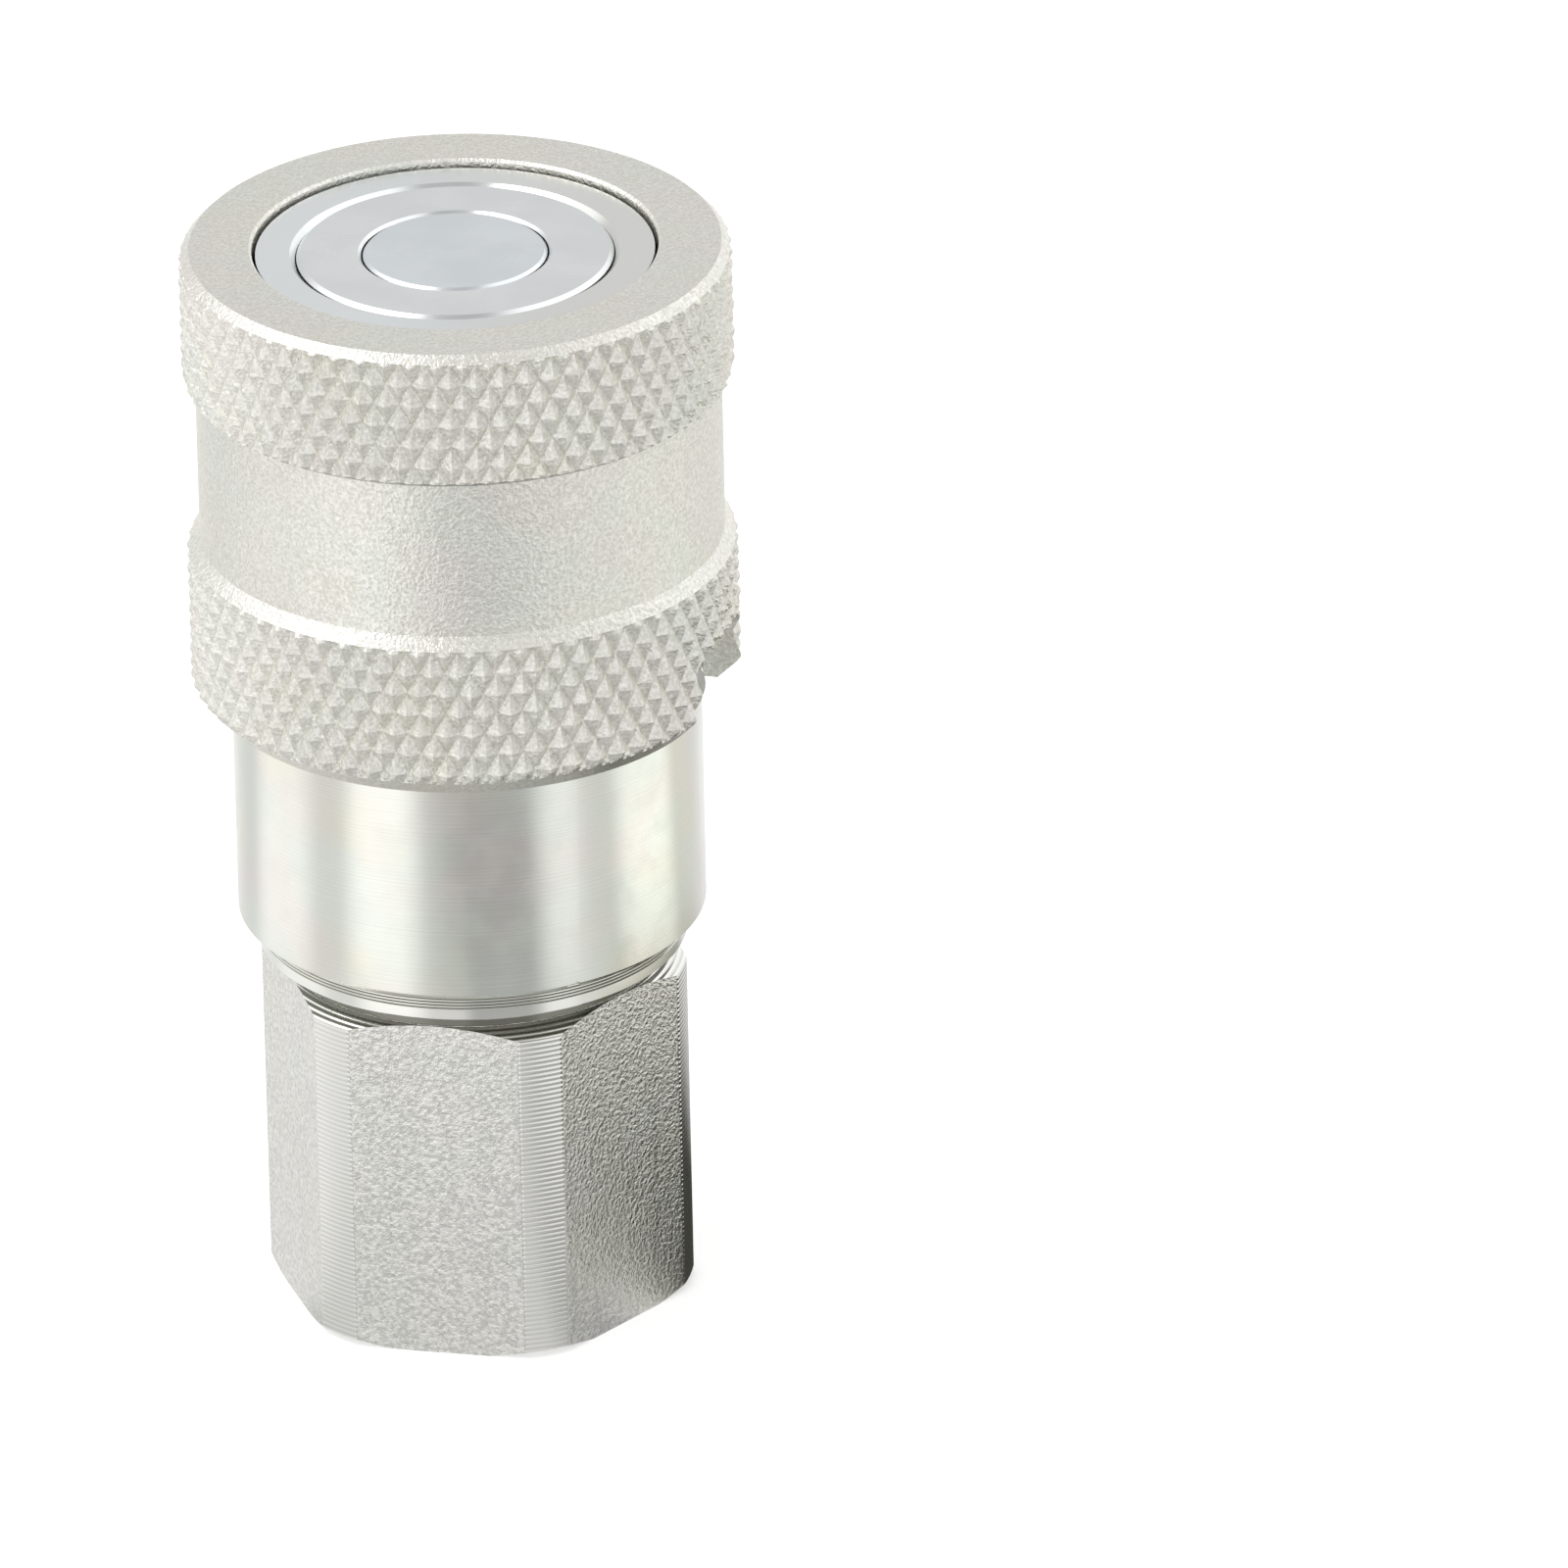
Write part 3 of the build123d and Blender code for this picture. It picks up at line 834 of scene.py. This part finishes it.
    def crease(self, shape: bmesh.types.BMesh) -> None:
        """Split each face of the bands along its lower diagonal, so that grooves stay straight.

        Args:
            shape: Mesh with the knurl raised.
        """
        for face in shape.faces[:]:
            radii = [math.hypot(corner.co.x, corner.co.y) / MM for corner in face.verts]
            if len(radii) != 4 or min(radii) < self.crest_r - self.knurl_depth - 2 * NEAR:
                continue
            first = 0 if radii[0] + radii[2] < radii[1] + radii[3] else 1
            bmesh.utils.face_split(face, face.verts[first], face.verts[first + 2])

    def raise_corner(self, corner: bmesh.types.BMVert) -> None:
        """Move one corner of the bands to the knurled surface.

        Args:
            corner: Corner of the spun mesh.
        """
        radius = math.hypot(corner.co.x, corner.co.y) / MM
        if radius < self.crest_r - NEAR:
            return
        height = corner.co.z / MM
        net_z = self.waist_high_z if height > self.waist_high_z - NEAR else self.lower_net_z
        share = self.knurled_r(corner.co, net_z) / radius
        corner.co.x *= share
        corner.co.y *= share

    def notch(self) -> bpy.types.Object:
        """Cutter for the notch, with two rounded corners at its top.

        Returns:
            The cutter.
        """
        shape = bmesh.new()
        bmesh.ops.create_cube(shape, size=1.0)
        depth = 2 * (self.crest_r - self.bore_r)
        size = Vector((depth, self.notch_width, 2 * self.notch_height)) * MM
        bmesh.ops.scale(shape, vec=size, verts=shape.verts[:])
        tops = [
            edge for edge in shape.edges
            if all(end.co.z > 0 for end in edge.verts) and abs(edge.verts[0].co.x - edge.verts[1].co.x) > MM
        ]
        bmesh.ops.bevel(
            shape, geom=tops, offset=self.notch_corner_r * MM, affect="EDGES",
            segments=self.notch_corner_steps, profile=0.5, material=-1,
        )
        middle = Matrix.Translation(Vector(((self.bore_r + self.crest_r) / 2, 0, self.low_z)) * MM)
        turn = Matrix.Rotation(math.radians(self.notch_angle), 4, "Z")
        bmesh.ops.transform(shape, matrix=turn @ middle, verts=shape.verts[:])
        return new_piece("notch_cutter", shape)

    def build(self, material: bpy.types.Material) -> bpy.types.Object:
        """Make the sleeve, cut its notch and let it stand for the CAD's sleeve.

        Args:
            material: Its finish.

        Returns:
            The piece.
        """
        piece = new_piece("sleeve_knurled", self.shape())
        subtract(piece, self.notch())
        shade(piece, self.sharp_from)
        dress(piece, material)
        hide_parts("locking_sleeve")
        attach(piece, Body.SLEEVE.value)
        return piece


@dataclass
class RearAdapter:
    """Hexagon with corners turned down, neck groove, lined neck ring and threaded port.

    Sizes are in millimetres. Heights are above the port face. The thread's ridge bites into the
    wall, and the widths of its root and crest are shares of the pitch.
    """

    flat_r: float = 10.0
    corner_r: float = 10.98
    hex_top_z: float = 18.65
    base_chamfer: float = 0.40
    base_edge_z: float = 0.05
    neck_groove_r: float = 9.9
    neck_ring_r: float = 11.0
    neck_ring_z: float = 19.5
    neck_lines_z: float = 20.15
    neck_top_z: float = 21.1
    line_depth: float = 0.07
    line_width: float = 0.11
    line_count: int = 5
    spigot_r: float = 10.3
    spigot_top_z: float = 27.5
    spigot_inner_r: float = 9.0
    seat_r: float = 8.4
    seat_z: float = 15.0
    port_mouth_r: float = 6.9
    thread_major_r: float = 6.578
    thread_minor_r: float = 5.75
    thread_pitch: float = 1.337
    thread_bite: float = 0.05
    thread_root: float = 0.88
    thread_crest: float = 0.12
    thread_turns: int = 7
    thread_steps: int = 48
    steps: int = 360
    sharp_from: float = 18.0

    def profile(self) -> list[ProfilePoint]:
        """Closed profile of the adapter, with the corner's radius where the hexagon is."""
        crown_z = self.hex_top_z - (self.corner_r - self.flat_r) * CHAMFER_SLOPE
        points = [
            (self.port_mouth_r, 0.0),
            (self.corner_r - self.base_chamfer / CHAMFER_SLOPE, 0.0),
            (self.corner_r, self.base_chamfer),
            (self.corner_r, crown_z),
            (self.flat_r, self.hex_top_z),
            (self.neck_groove_r, self.hex_top_z),
            (self.neck_groove_r, self.neck_ring_z),
            (self.neck_ring_r - self.line_width, self.neck_ring_z),
            (self.neck_ring_r, self.neck_ring_z + self.line_width),
        ]
        pitch = (self.neck_top_z - self.line_width - self.neck_lines_z) / self.line_count
        for line in range(self.line_count):
            low = self.neck_lines_z + line * pitch
            points += [
                (self.neck_ring_r, low),
                (self.neck_ring_r - self.line_depth, low + self.line_width / 2),
                (self.neck_ring_r, low + self.line_width),
            ]
        points += [
            (self.neck_ring_r, self.neck_top_z - self.line_width),
            (self.neck_ring_r - 2 * self.line_width, self.neck_top_z - self.line_width),
            (self.neck_ring_r - 2 * self.line_width, self.neck_top_z),
            (self.spigot_r, self.neck_top_z),
            (self.spigot_r, self.spigot_top_z),
            (self.spigot_inner_r, self.spigot_top_z),
            (self.spigot_inner_r, self.neck_top_z),
            (self.seat_r, self.neck_top_z),
            (self.seat_r, self.seat_z),
            (self.thread_major_r, self.seat_z),
            (self.thread_major_r, self.port_mouth_r - self.thread_major_r),
        ]
        return points

    def shape(self) -> bmesh.types.BMesh:
        """Spin the profile and press its lower part to the hexagon.

        Returns:
            Closed mesh.
        """
        shape = spun(self.profile(), self.steps)
        for corner in shape.verts:
            self.press_to_flat(corner)
        return shape

    def press_to_flat(self, corner: bmesh.types.BMVert) -> None:
        """Bring one corner of the mesh inside the hexagon's flats.

        Args:
            corner: Corner of the spun mesh.
        """
        turn, height = turn_and_height(corner.co)
        radius = math.hypot(corner.co.x, corner.co.y) / MM
        if radius <= self.flat_r + NEAR or height > self.hex_top_z + NEAR:
            return
        sixth = math.pi / 3
        middle = sixth / 2
        off = abs((turn % sixth) - middle)
        edge = math.acos(self.flat_r / self.corner_r)
        step = 2 * math.pi / self.steps
        if abs(off - edge) < step / 2:
            sign = 1 if (turn % sixth) > middle else -1
            turn += sign * (edge - off)
            off = edge
        reach = min(self.flat_r / math.cos(off), self.corner_r)
        low_r = self.corner_r - self.base_chamfer / CHAMFER_SLOPE
        if height > self.hex_top_z / 2:
            height = self.hex_top_z - (reach - self.flat_r) * CHAMFER_SLOPE
        elif height > NEAR:
            height = max((reach - low_r) * CHAMFER_SLOPE, self.base_edge_z)
        else:
            reach = min(reach, low_r)
        corner.co = Vector((reach * math.cos(turn), reach * math.sin(turn), height)) * MM

    def thread(self) -> bpy.types.Object:
        """Ridge of the port's parallel pipe thread.

        Returns:
            The piece.
        """
        shape = bmesh.new()
        half = self.thread_pitch / 2
        root_r = self.thread_major_r + self.thread_bite
        start = self.thread_pitch
        outline = [
            (root_r, start - self.thread_root * half),
            (self.thread_minor_r, start - self.thread_crest * half),
            (self.thread_minor_r, start + self.thread_crest * half),
            (root_r, start + self.thread_root * half),
        ]
        edges = chain(shape, outline)
        section = bmesh.ops.contextual_create(shape, geom=edges)["faces"]
        steps = self.thread_steps * self.thread_turns
        climb = self.thread_pitch * MM * self.thread_turns / steps
        bmesh.ops.spin(
            shape, geom=[*shape.verts, *edges, *section], angle=2 * math.pi * self.thread_turns,
            steps=steps, axis=(0, 0, 1), cent=(0, 0, 0), dvec=(0, 0, climb),
        )
        return new_piece("port_thread", shape)

    def build(self, material: bpy.types.Material) -> list[bpy.types.Object]:
        """Make the adapter and its thread, and let them stand for the CAD's adapter.

        Args:
            material: Their finish.

        Returns:
            The pieces.
        """
        adapter = new_piece("adapter_hexagon", self.shape())
        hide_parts("rear_adapter")
        pieces = [adapter, self.thread()]
        for piece in pieces:
            shade(piece, self.sharp_from)
            dress(piece, material)
            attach(piece, Body.COUPLER.value)
        return pieces


@dataclass
class CoilSpring:
    """Coil spring. It keeps the CAD's coil."""

    node: str
    body: Body
    joint: str
    sharp_from: float = 40.0

    def build(self, material: bpy.types.Material) -> bpy.types.Object:
        """Copy the coil and let it stand for the CAD's spring.

        Args:
            material: Its finish.

        Returns:
            The piece.
        """
        shape = bmesh.new()
        shape.from_mesh(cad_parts[self.node].data)
        piece = new_piece(self.node + "_coil", shape)
        shade(piece, self.sharp_from)
        dress(piece, material)
        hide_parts(self.node)
        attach(piece, self.body.value)
        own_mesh(piece)
        return piece


@dataclass(frozen=True)
class SoftBox:
    """Bright or dark field above the floor: its direction and spread in degrees, and its gain."""

    azimuth: float
    elevation: float
    inner: float
    outer: float
    gain: float


@dataclass(frozen=True)
class Curtain:
    """Bright or dark field of the floor as the object mirrors it.

    Its azimuth and spread are in degrees. It starts and ends some millimetres from the object's axis.
    """

    azimuth: float
    inner: float
    outer: float
    gain: float
    start: float = 38.0
    end: float = 900.0
    fade: float = 20.0


@dataclass
class Studio:
    """Floor, lights, white background and the photograph's camera.

    Azimuths are counted from the camera's side, to the right of the object when seen from there.
    """

    base_level: float = 0.80
    sky_level: float = 0.85
    wall_gain: float = 0.15
    wall_start: float = 130.0
    wall_end: float = 400.0
    # Painted shadow: the floor in reflections is darker within this distance of the axis.
    near_shadow_gain: float = -0.15
    near_shadow_end: float = 36.0
    near_shadow_fade: float = 10.0
    floor_half: float = 3000.0
    paper: Colour = (0.85, 0.85, 0.85)
    paper_glow: float = 0.40
    floor_tint: Colour = (1.0, 1.0, 0.87)
    tint_azimuth: float = 96.0
    tint_inner: float = 15.0
    tint_outer: float = 45.0
    tint_full_r: float = 46.0
    tint_faint_r: float = 56.0
    tint_faint: float = 0.3
    key_watts: float = 0.6
    key_size: float = 300.0
    key_place: tuple[float, float, float] = (-280.0, -120.0, 450.0)
    key_aim_z: float = 40.0
    camera_turn: float = 12.0
    camera_drop: float = 25.75
    camera_roll: float = -1.198
    camera_distance: float = 1242.07
    camera_reach: float = 20000.0
    focal_pixels: float = 24783.0
    picture_pixels: float = 1600.0
    aim_z: float = 28.0
    aim_pixel: tuple[float, float] = (478.90, 792.93)
    sensor: float = 36.0
    curtains: tuple[Curtain, ...] = (
        Curtain(8, 8, 33, -0.44, start=54, end=85, fade=5),
        Curtain(8, 8, 33, -0.20, start=85),
        Curtain(-41, 4, 22, 0.56, end=82),
        Curtain(-41, 4, 22, 0.42, start=82),
        Curtain(41, 3, 15, 0.28),
        Curtain(-98, 6, 26, 0.44, end=80),
        Curtain(90, 5, 24, 0.65, start=48, end=80, fade=9),
        Curtain(111, 4, 15, 0.25, start=85),
        Curtain(180, 15, 50, 0.22),
        # Painted shadow of the object on the floor, on the side opposite the lamp, as reflections show it.
        Curtain(100, 22, 42, -0.60, start=0, end=43, fade=8),
        Curtain(16, 14, 22, -0.36, start=44, end=54, fade=5),
        Curtain(38, 6, 18, -0.22, start=0, end=42, fade=6),
        Curtain(-118, 38, 66, 0.20, start=0, end=40, fade=10),
    )
    boxes: tuple[SoftBox, ...] = (
        SoftBox(-100, 48, 20, 40, 0.60),
        SoftBox(-70, 3, 14, 28, 0.45),
        SoftBox(-108, 3, 14, 28, 0.40),
        SoftBox(98, 46, 20, 38, 0.62),
        SoftBox(135, 5, 20, 42, 0.45),
        SoftBox(60, 4, 12, 26, -0.12),
        SoftBox(-2, 18, 22, 46, 0.44),
        SoftBox(4, 64, 8, 28, -0.3),
        SoftBox(150, 80, 8, 20, -0.30),
        SoftBox(180, 28, 22, 50, 0.03),
    )

    def camera(self) -> None:
        """Set the camera from the fit to the photograph."""
        drop = math.radians(self.camera_drop)
        roll = math.radians(self.camera_roll)
        forward = Vector((0, math.cos(drop), -math.sin(drop)))
        level_up = Vector((1, 0, 0)).cross(forward)
        right = Vector((1, 0, 0)) * math.cos(roll) + level_up * math.sin(roll)
        up = level_up * math.cos(roll) - Vector((1, 0, 0)) * math.sin(roll)
        centre = self.picture_pixels / 2
        aside = (self.aim_pixel[0] - centre) / self.focal_pixels
        below = (self.aim_pixel[1] - centre) / self.focal_pixels
        sight = forward + aside * right - below * up
        place = Vector((0, 0, self.aim_z)) - self.camera_distance * sight
        turn = Matrix.Rotation(math.radians(self.camera_turn), 4, "Z")
        rotation = Matrix((right, up, -forward)).transposed().to_4x4()
        data = bpy.data.cameras.new("camera")
        data.sensor_width = self.sensor
        data.lens = self.sensor * self.focal_pixels / self.picture_pixels
        data.clip_end = self.camera_reach * MM
        camera = bpy.data.objects.new("camera", data)
        camera.matrix_world = turn @ Matrix.Translation(place * MM) @ rotation
        bpy.context.scene.collection.objects.link(camera)
        bpy.context.scene.camera = camera

    def aim(self, azimuth: float, elevation: float = 0.0) -> tuple[float, float, float]:
        """Unit vector towards a place in the studio.

        Args:
            azimuth: Degrees from the camera's side.
            elevation: Degrees above the floor.

        Returns:
            The direction.
        """
        turn = math.radians(azimuth + self.camera_turn - 90)
        lift = math.radians(elevation)
        return (math.cos(turn) * math.cos(lift), math.sin(turn) * math.cos(lift), math.sin(lift))

    def field(
        self, graph: Graph, direction: Socket, aim: Sequence[float], inner: float, outer: float
    ) -> Socket:
        """Share of one field of the studio in a direction.

        Args:
            graph: Helper of the node tree.
            direction: Unit vector.
            aim: Middle of the field.
            inner: Degrees from the middle up to which the field is full.
            outer: Degrees from the middle at which it ends.

        Returns:
            0 outside the field, 1 inside.
        """
        dot = graph.vector("DOT_PRODUCT", direction, tuple(aim)).outputs["Value"]
        return graph.ramp(dot, math.cos(math.radians(outer)), math.cos(math.radians(inner)))

    def floor_level(self, graph: Graph, place: Socket) -> Socket:
        """Brightness of the floor in reflections: darker close to the object, a painted shadow of it, and
        brighter far off.

        Each curtain adds its gain in its own field.

        Args:
            graph: Helper of the node tree.
            place: Place on the floor in millimetres.

        Returns:
            The brightness.
        """
        distance = graph.radius(place)
        heading = graph.vector("NORMALIZE", graph.flat(place)).outputs[0]
        far_level = self.base_level + self.wall_gain
        level = graph.ramp(distance, self.wall_start, self.wall_end, self.base_level, far_level)
        # Painted shadow of the object on the floor, all round it, as reflections show it.
        near = graph.ramp(distance, self.near_shadow_end, self.near_shadow_end + self.near_shadow_fade, self.near_shadow_gain, 0.0)
        level = graph.math("ADD", level, near)
        for curtain in self.curtains:
            share = self.field(graph, heading, self.aim(curtain.azimuth), curtain.inner, curtain.outer)
            begun = graph.ramp(distance, curtain.start, curtain.start + curtain.fade)
            left = graph.ramp(distance, curtain.end, curtain.end + curtain.fade, 1.0, 0.0)
            share = graph.math("MULTIPLY", graph.math("MULTIPLY", share, begun), left)
            level = graph.math("MULTIPLY_ADD", share, curtain.gain, level)
        return level

    def floor_colour(self, graph: Graph, place: Socket) -> Socket:
        """Colour of the floor in reflections: white, with a yellow field on one side.

        Args:
            graph: Helper of the node tree.
            place: Place on the floor in millimetres.

        Returns:
            The colour.
        """
        heading = graph.vector("NORMALIZE", graph.flat(place)).outputs[0]
        side = self.field(graph, heading, self.aim(self.tint_azimuth), self.tint_inner, self.tint_outer)
        distance = graph.radius(place)
        share = graph.ramp(distance, self.tint_full_r, self.tint_faint_r, 1.0, self.tint_faint)
        return graph.mix(graph.math("MULTIPLY", side, share), (1.0, 1.0, 1.0), self.floor_tint)

    def floor(self) -> None:
        """Pale floor: white with the shadow to the camera, and with its fields in reflections."""
        shape = bmesh.new()
        bmesh.ops.create_grid(shape, x_segments=1, y_segments=1, size=self.floor_half * MM)
        mesh = bpy.data.meshes.new("floor")
        shape.to_mesh(mesh)
        shape.free()
        floor = bpy.data.objects.new("floor", mesh)
        bpy.context.scene.collection.objects.link(floor)
        material = bpy.data.materials.new("floor_paper")
        material.use_nodes = True
        graph = Graph(material.node_tree)
        paper = graph.add("ShaderNodeBsdfDiffuse")
        graph.feed(paper.inputs["Color"], self.paper)
        glow = graph.add("ShaderNodeEmission")
        glow.inputs["Strength"].default_value = self.paper_glow
        lit = graph.add("ShaderNodeAddShader")
        graph.feed(lit.inputs[0], paper.outputs[0])
        graph.feed(lit.inputs[1], glow.outputs[0])
        mirrored = graph.add("ShaderNodeEmission")
        place = graph.place()
        graph.feed(mirrored.inputs["Strength"], self.floor_level(graph, place))
        graph.feed(mirrored.inputs["Color"], self.floor_colour(graph, place))
        rays = graph.add("ShaderNodeLightPath").outputs
        direct = graph.math("MAXIMUM", rays["Is Camera Ray"], rays["Is Transmission Ray"])
        seen = graph.add("ShaderNodeMixShader")
        graph.feed(seen.inputs[0], direct)
        graph.feed(seen.inputs[1], paper.outputs[0])
        graph.feed(seen.inputs[2], lit.outputs[0])
        glossy = graph.add("ShaderNodeMixShader")
        graph.feed(glossy.inputs[0], rays["Is Glossy Ray"])
        graph.feed(glossy.inputs[1], seen.outputs[0])
        graph.feed(glossy.inputs[2], mirrored.outputs[0])
        output = graph.add("ShaderNodeOutputMaterial")
        graph.feed(output.inputs["Surface"], glossy.outputs[0])
        dress(floor, material)

    def sky(self) -> None:
        """World: white to the camera, and soft boxes on a plain level to the object."""
        world = bpy.data.worlds.new("studio")
        bpy.context.scene.world = world
        world.use_nodes = True
        graph = Graph(world.node_tree)
        direction = graph.add("ShaderNodeTexCoord").outputs["Generated"]
        level: object = self.sky_level
        for box in self.boxes:
            aim = self.aim(box.azimuth, box.elevation)
            share = self.field(graph, direction, aim, box.inner, box.outer)
            level = graph.math("MULTIPLY_ADD", share, box.gain, level)
        seen = graph.add("ShaderNodeLightPath").outputs["Is Camera Ray"]
        hidden = graph.math("MULTIPLY", level, graph.math("SUBTRACT", 1.0, seen))
        background = graph.add("ShaderNodeBackground")
        graph.feed(background.inputs["Strength"], graph.math("ADD", hidden, seen))
        output = graph.add("ShaderNodeOutputWorld")
        graph.feed(output.inputs["Surface"], background.outputs[0])

    def lamps(self) -> None:
        """One large lamp above the object, to its left and a little in front."""
        data = bpy.data.lights.new("overhead", "AREA")
        data.shape = "SQUARE"
        data.size = self.key_size * MM
        data.energy = self.key_watts
        lamp = bpy.data.objects.new("overhead", data)
        place = Vector(self.key_place) * MM
        aim = Vector((0, 0, self.key_aim_z * MM)) - place
        turn = aim.to_track_quat("-Z", "Y").to_matrix().to_4x4()
        lamp.matrix_world = Matrix.Translation(place) @ turn
        bpy.context.scene.collection.objects.link(lamp)

    def build(self) -> None:
        """Make all of the studio."""
        self.camera()
        self.floor()
        self.sky()
        self.lamps()
        bpy.context.scene.view_settings.view_transform = "Standard"


@dataclass
class CarriedNodes:
    """CAD nodes that keep their mesh: the finish of each, and a plain one for the rest."""

    plain: Finish = PlainSteel()
    special: tuple[tuple[str, Finish], ...] = (
        ("front_body", TurnedZinc()),
        ("valve_sleeve", FacedSteel("valve_ring_finish", (0.90, 0.925, 0.925), (0.85, 0.875, 0.88))),
        ("valve_stem", FacedSteel("valve_disc_finish", (0.86, 0.905, 0.925), (0.81, 0.855, 0.875))),
        ("stem_seal", MouldedSeal()),
        ("nose_seal", MouldedSeal()),
        ("adapter_seal", MouldedSeal()),
        ("nose_backup_ring", MouldedSeal("backup_finish", (0.62, 0.60, 0.52), (0.50, 0.48, 0.42), 0.4)),
        # Painted shade: the stop ball, sitting in the notch's shade, is a little darker than the plain
        # steel; it is rougher too.
        ("turn_stop_ball", PlainSteel("dull_shaded_steel_finish", (0.52, 0.52, 0.50), (0.42, 0.42, 0.40), 0.45)),
    )

    def build(self) -> None:
        """Dress every node of the CAD. Those that a new piece stands for aren't shown."""
        finish_of = dict(self.special)
        made: dict[Finish, bpy.types.Material] = {}
        for name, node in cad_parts.items():
            finish = finish_of.get(name, self.plain)
            if finish not in made:
                made[finish] = finish.material()
            dress(node, made[finish])
            LOG.info("%s dressed", name)


def report(pieces: Iterable[bpy.types.Object]) -> None:
    """Log the number of faces of each piece."""
    for piece in pieces:
        LOG.info("%s: %d faces", piece.name, len(piece.data.polygons))


def main() -> None:
    """Build the studio, the detailed pieces and the finishes."""
    logging.basicConfig(level=logging.INFO, format="%(name)s %(message)s")
    Studio().build()
    low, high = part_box("locking_sleeve")
    sleeve = LockingSleeve(low.z / MM, high.z / MM, high.y / MM)
    report([sleeve.build(BlastedZinc().material())])
    adapter = RearAdapter()
    report(adapter.build(MilledHexZinc(adapter.flat_r, adapter.hex_top_z).material()))
    wire = PlainSteel("spring_wire_finish").material()
    valve_spring = CoilSpring("valve_spring", Body.COUPLER, "valve_sleeve_slide")
    sleeve_spring = CoilSpring("sleeve_spring", Body.CARRIER, "sleeve_slide")
    report([valve_spring.build(wire), sleeve_spring.build(wire)])
    CarriedNodes().build()


if __name__ == "__main__":
    main()
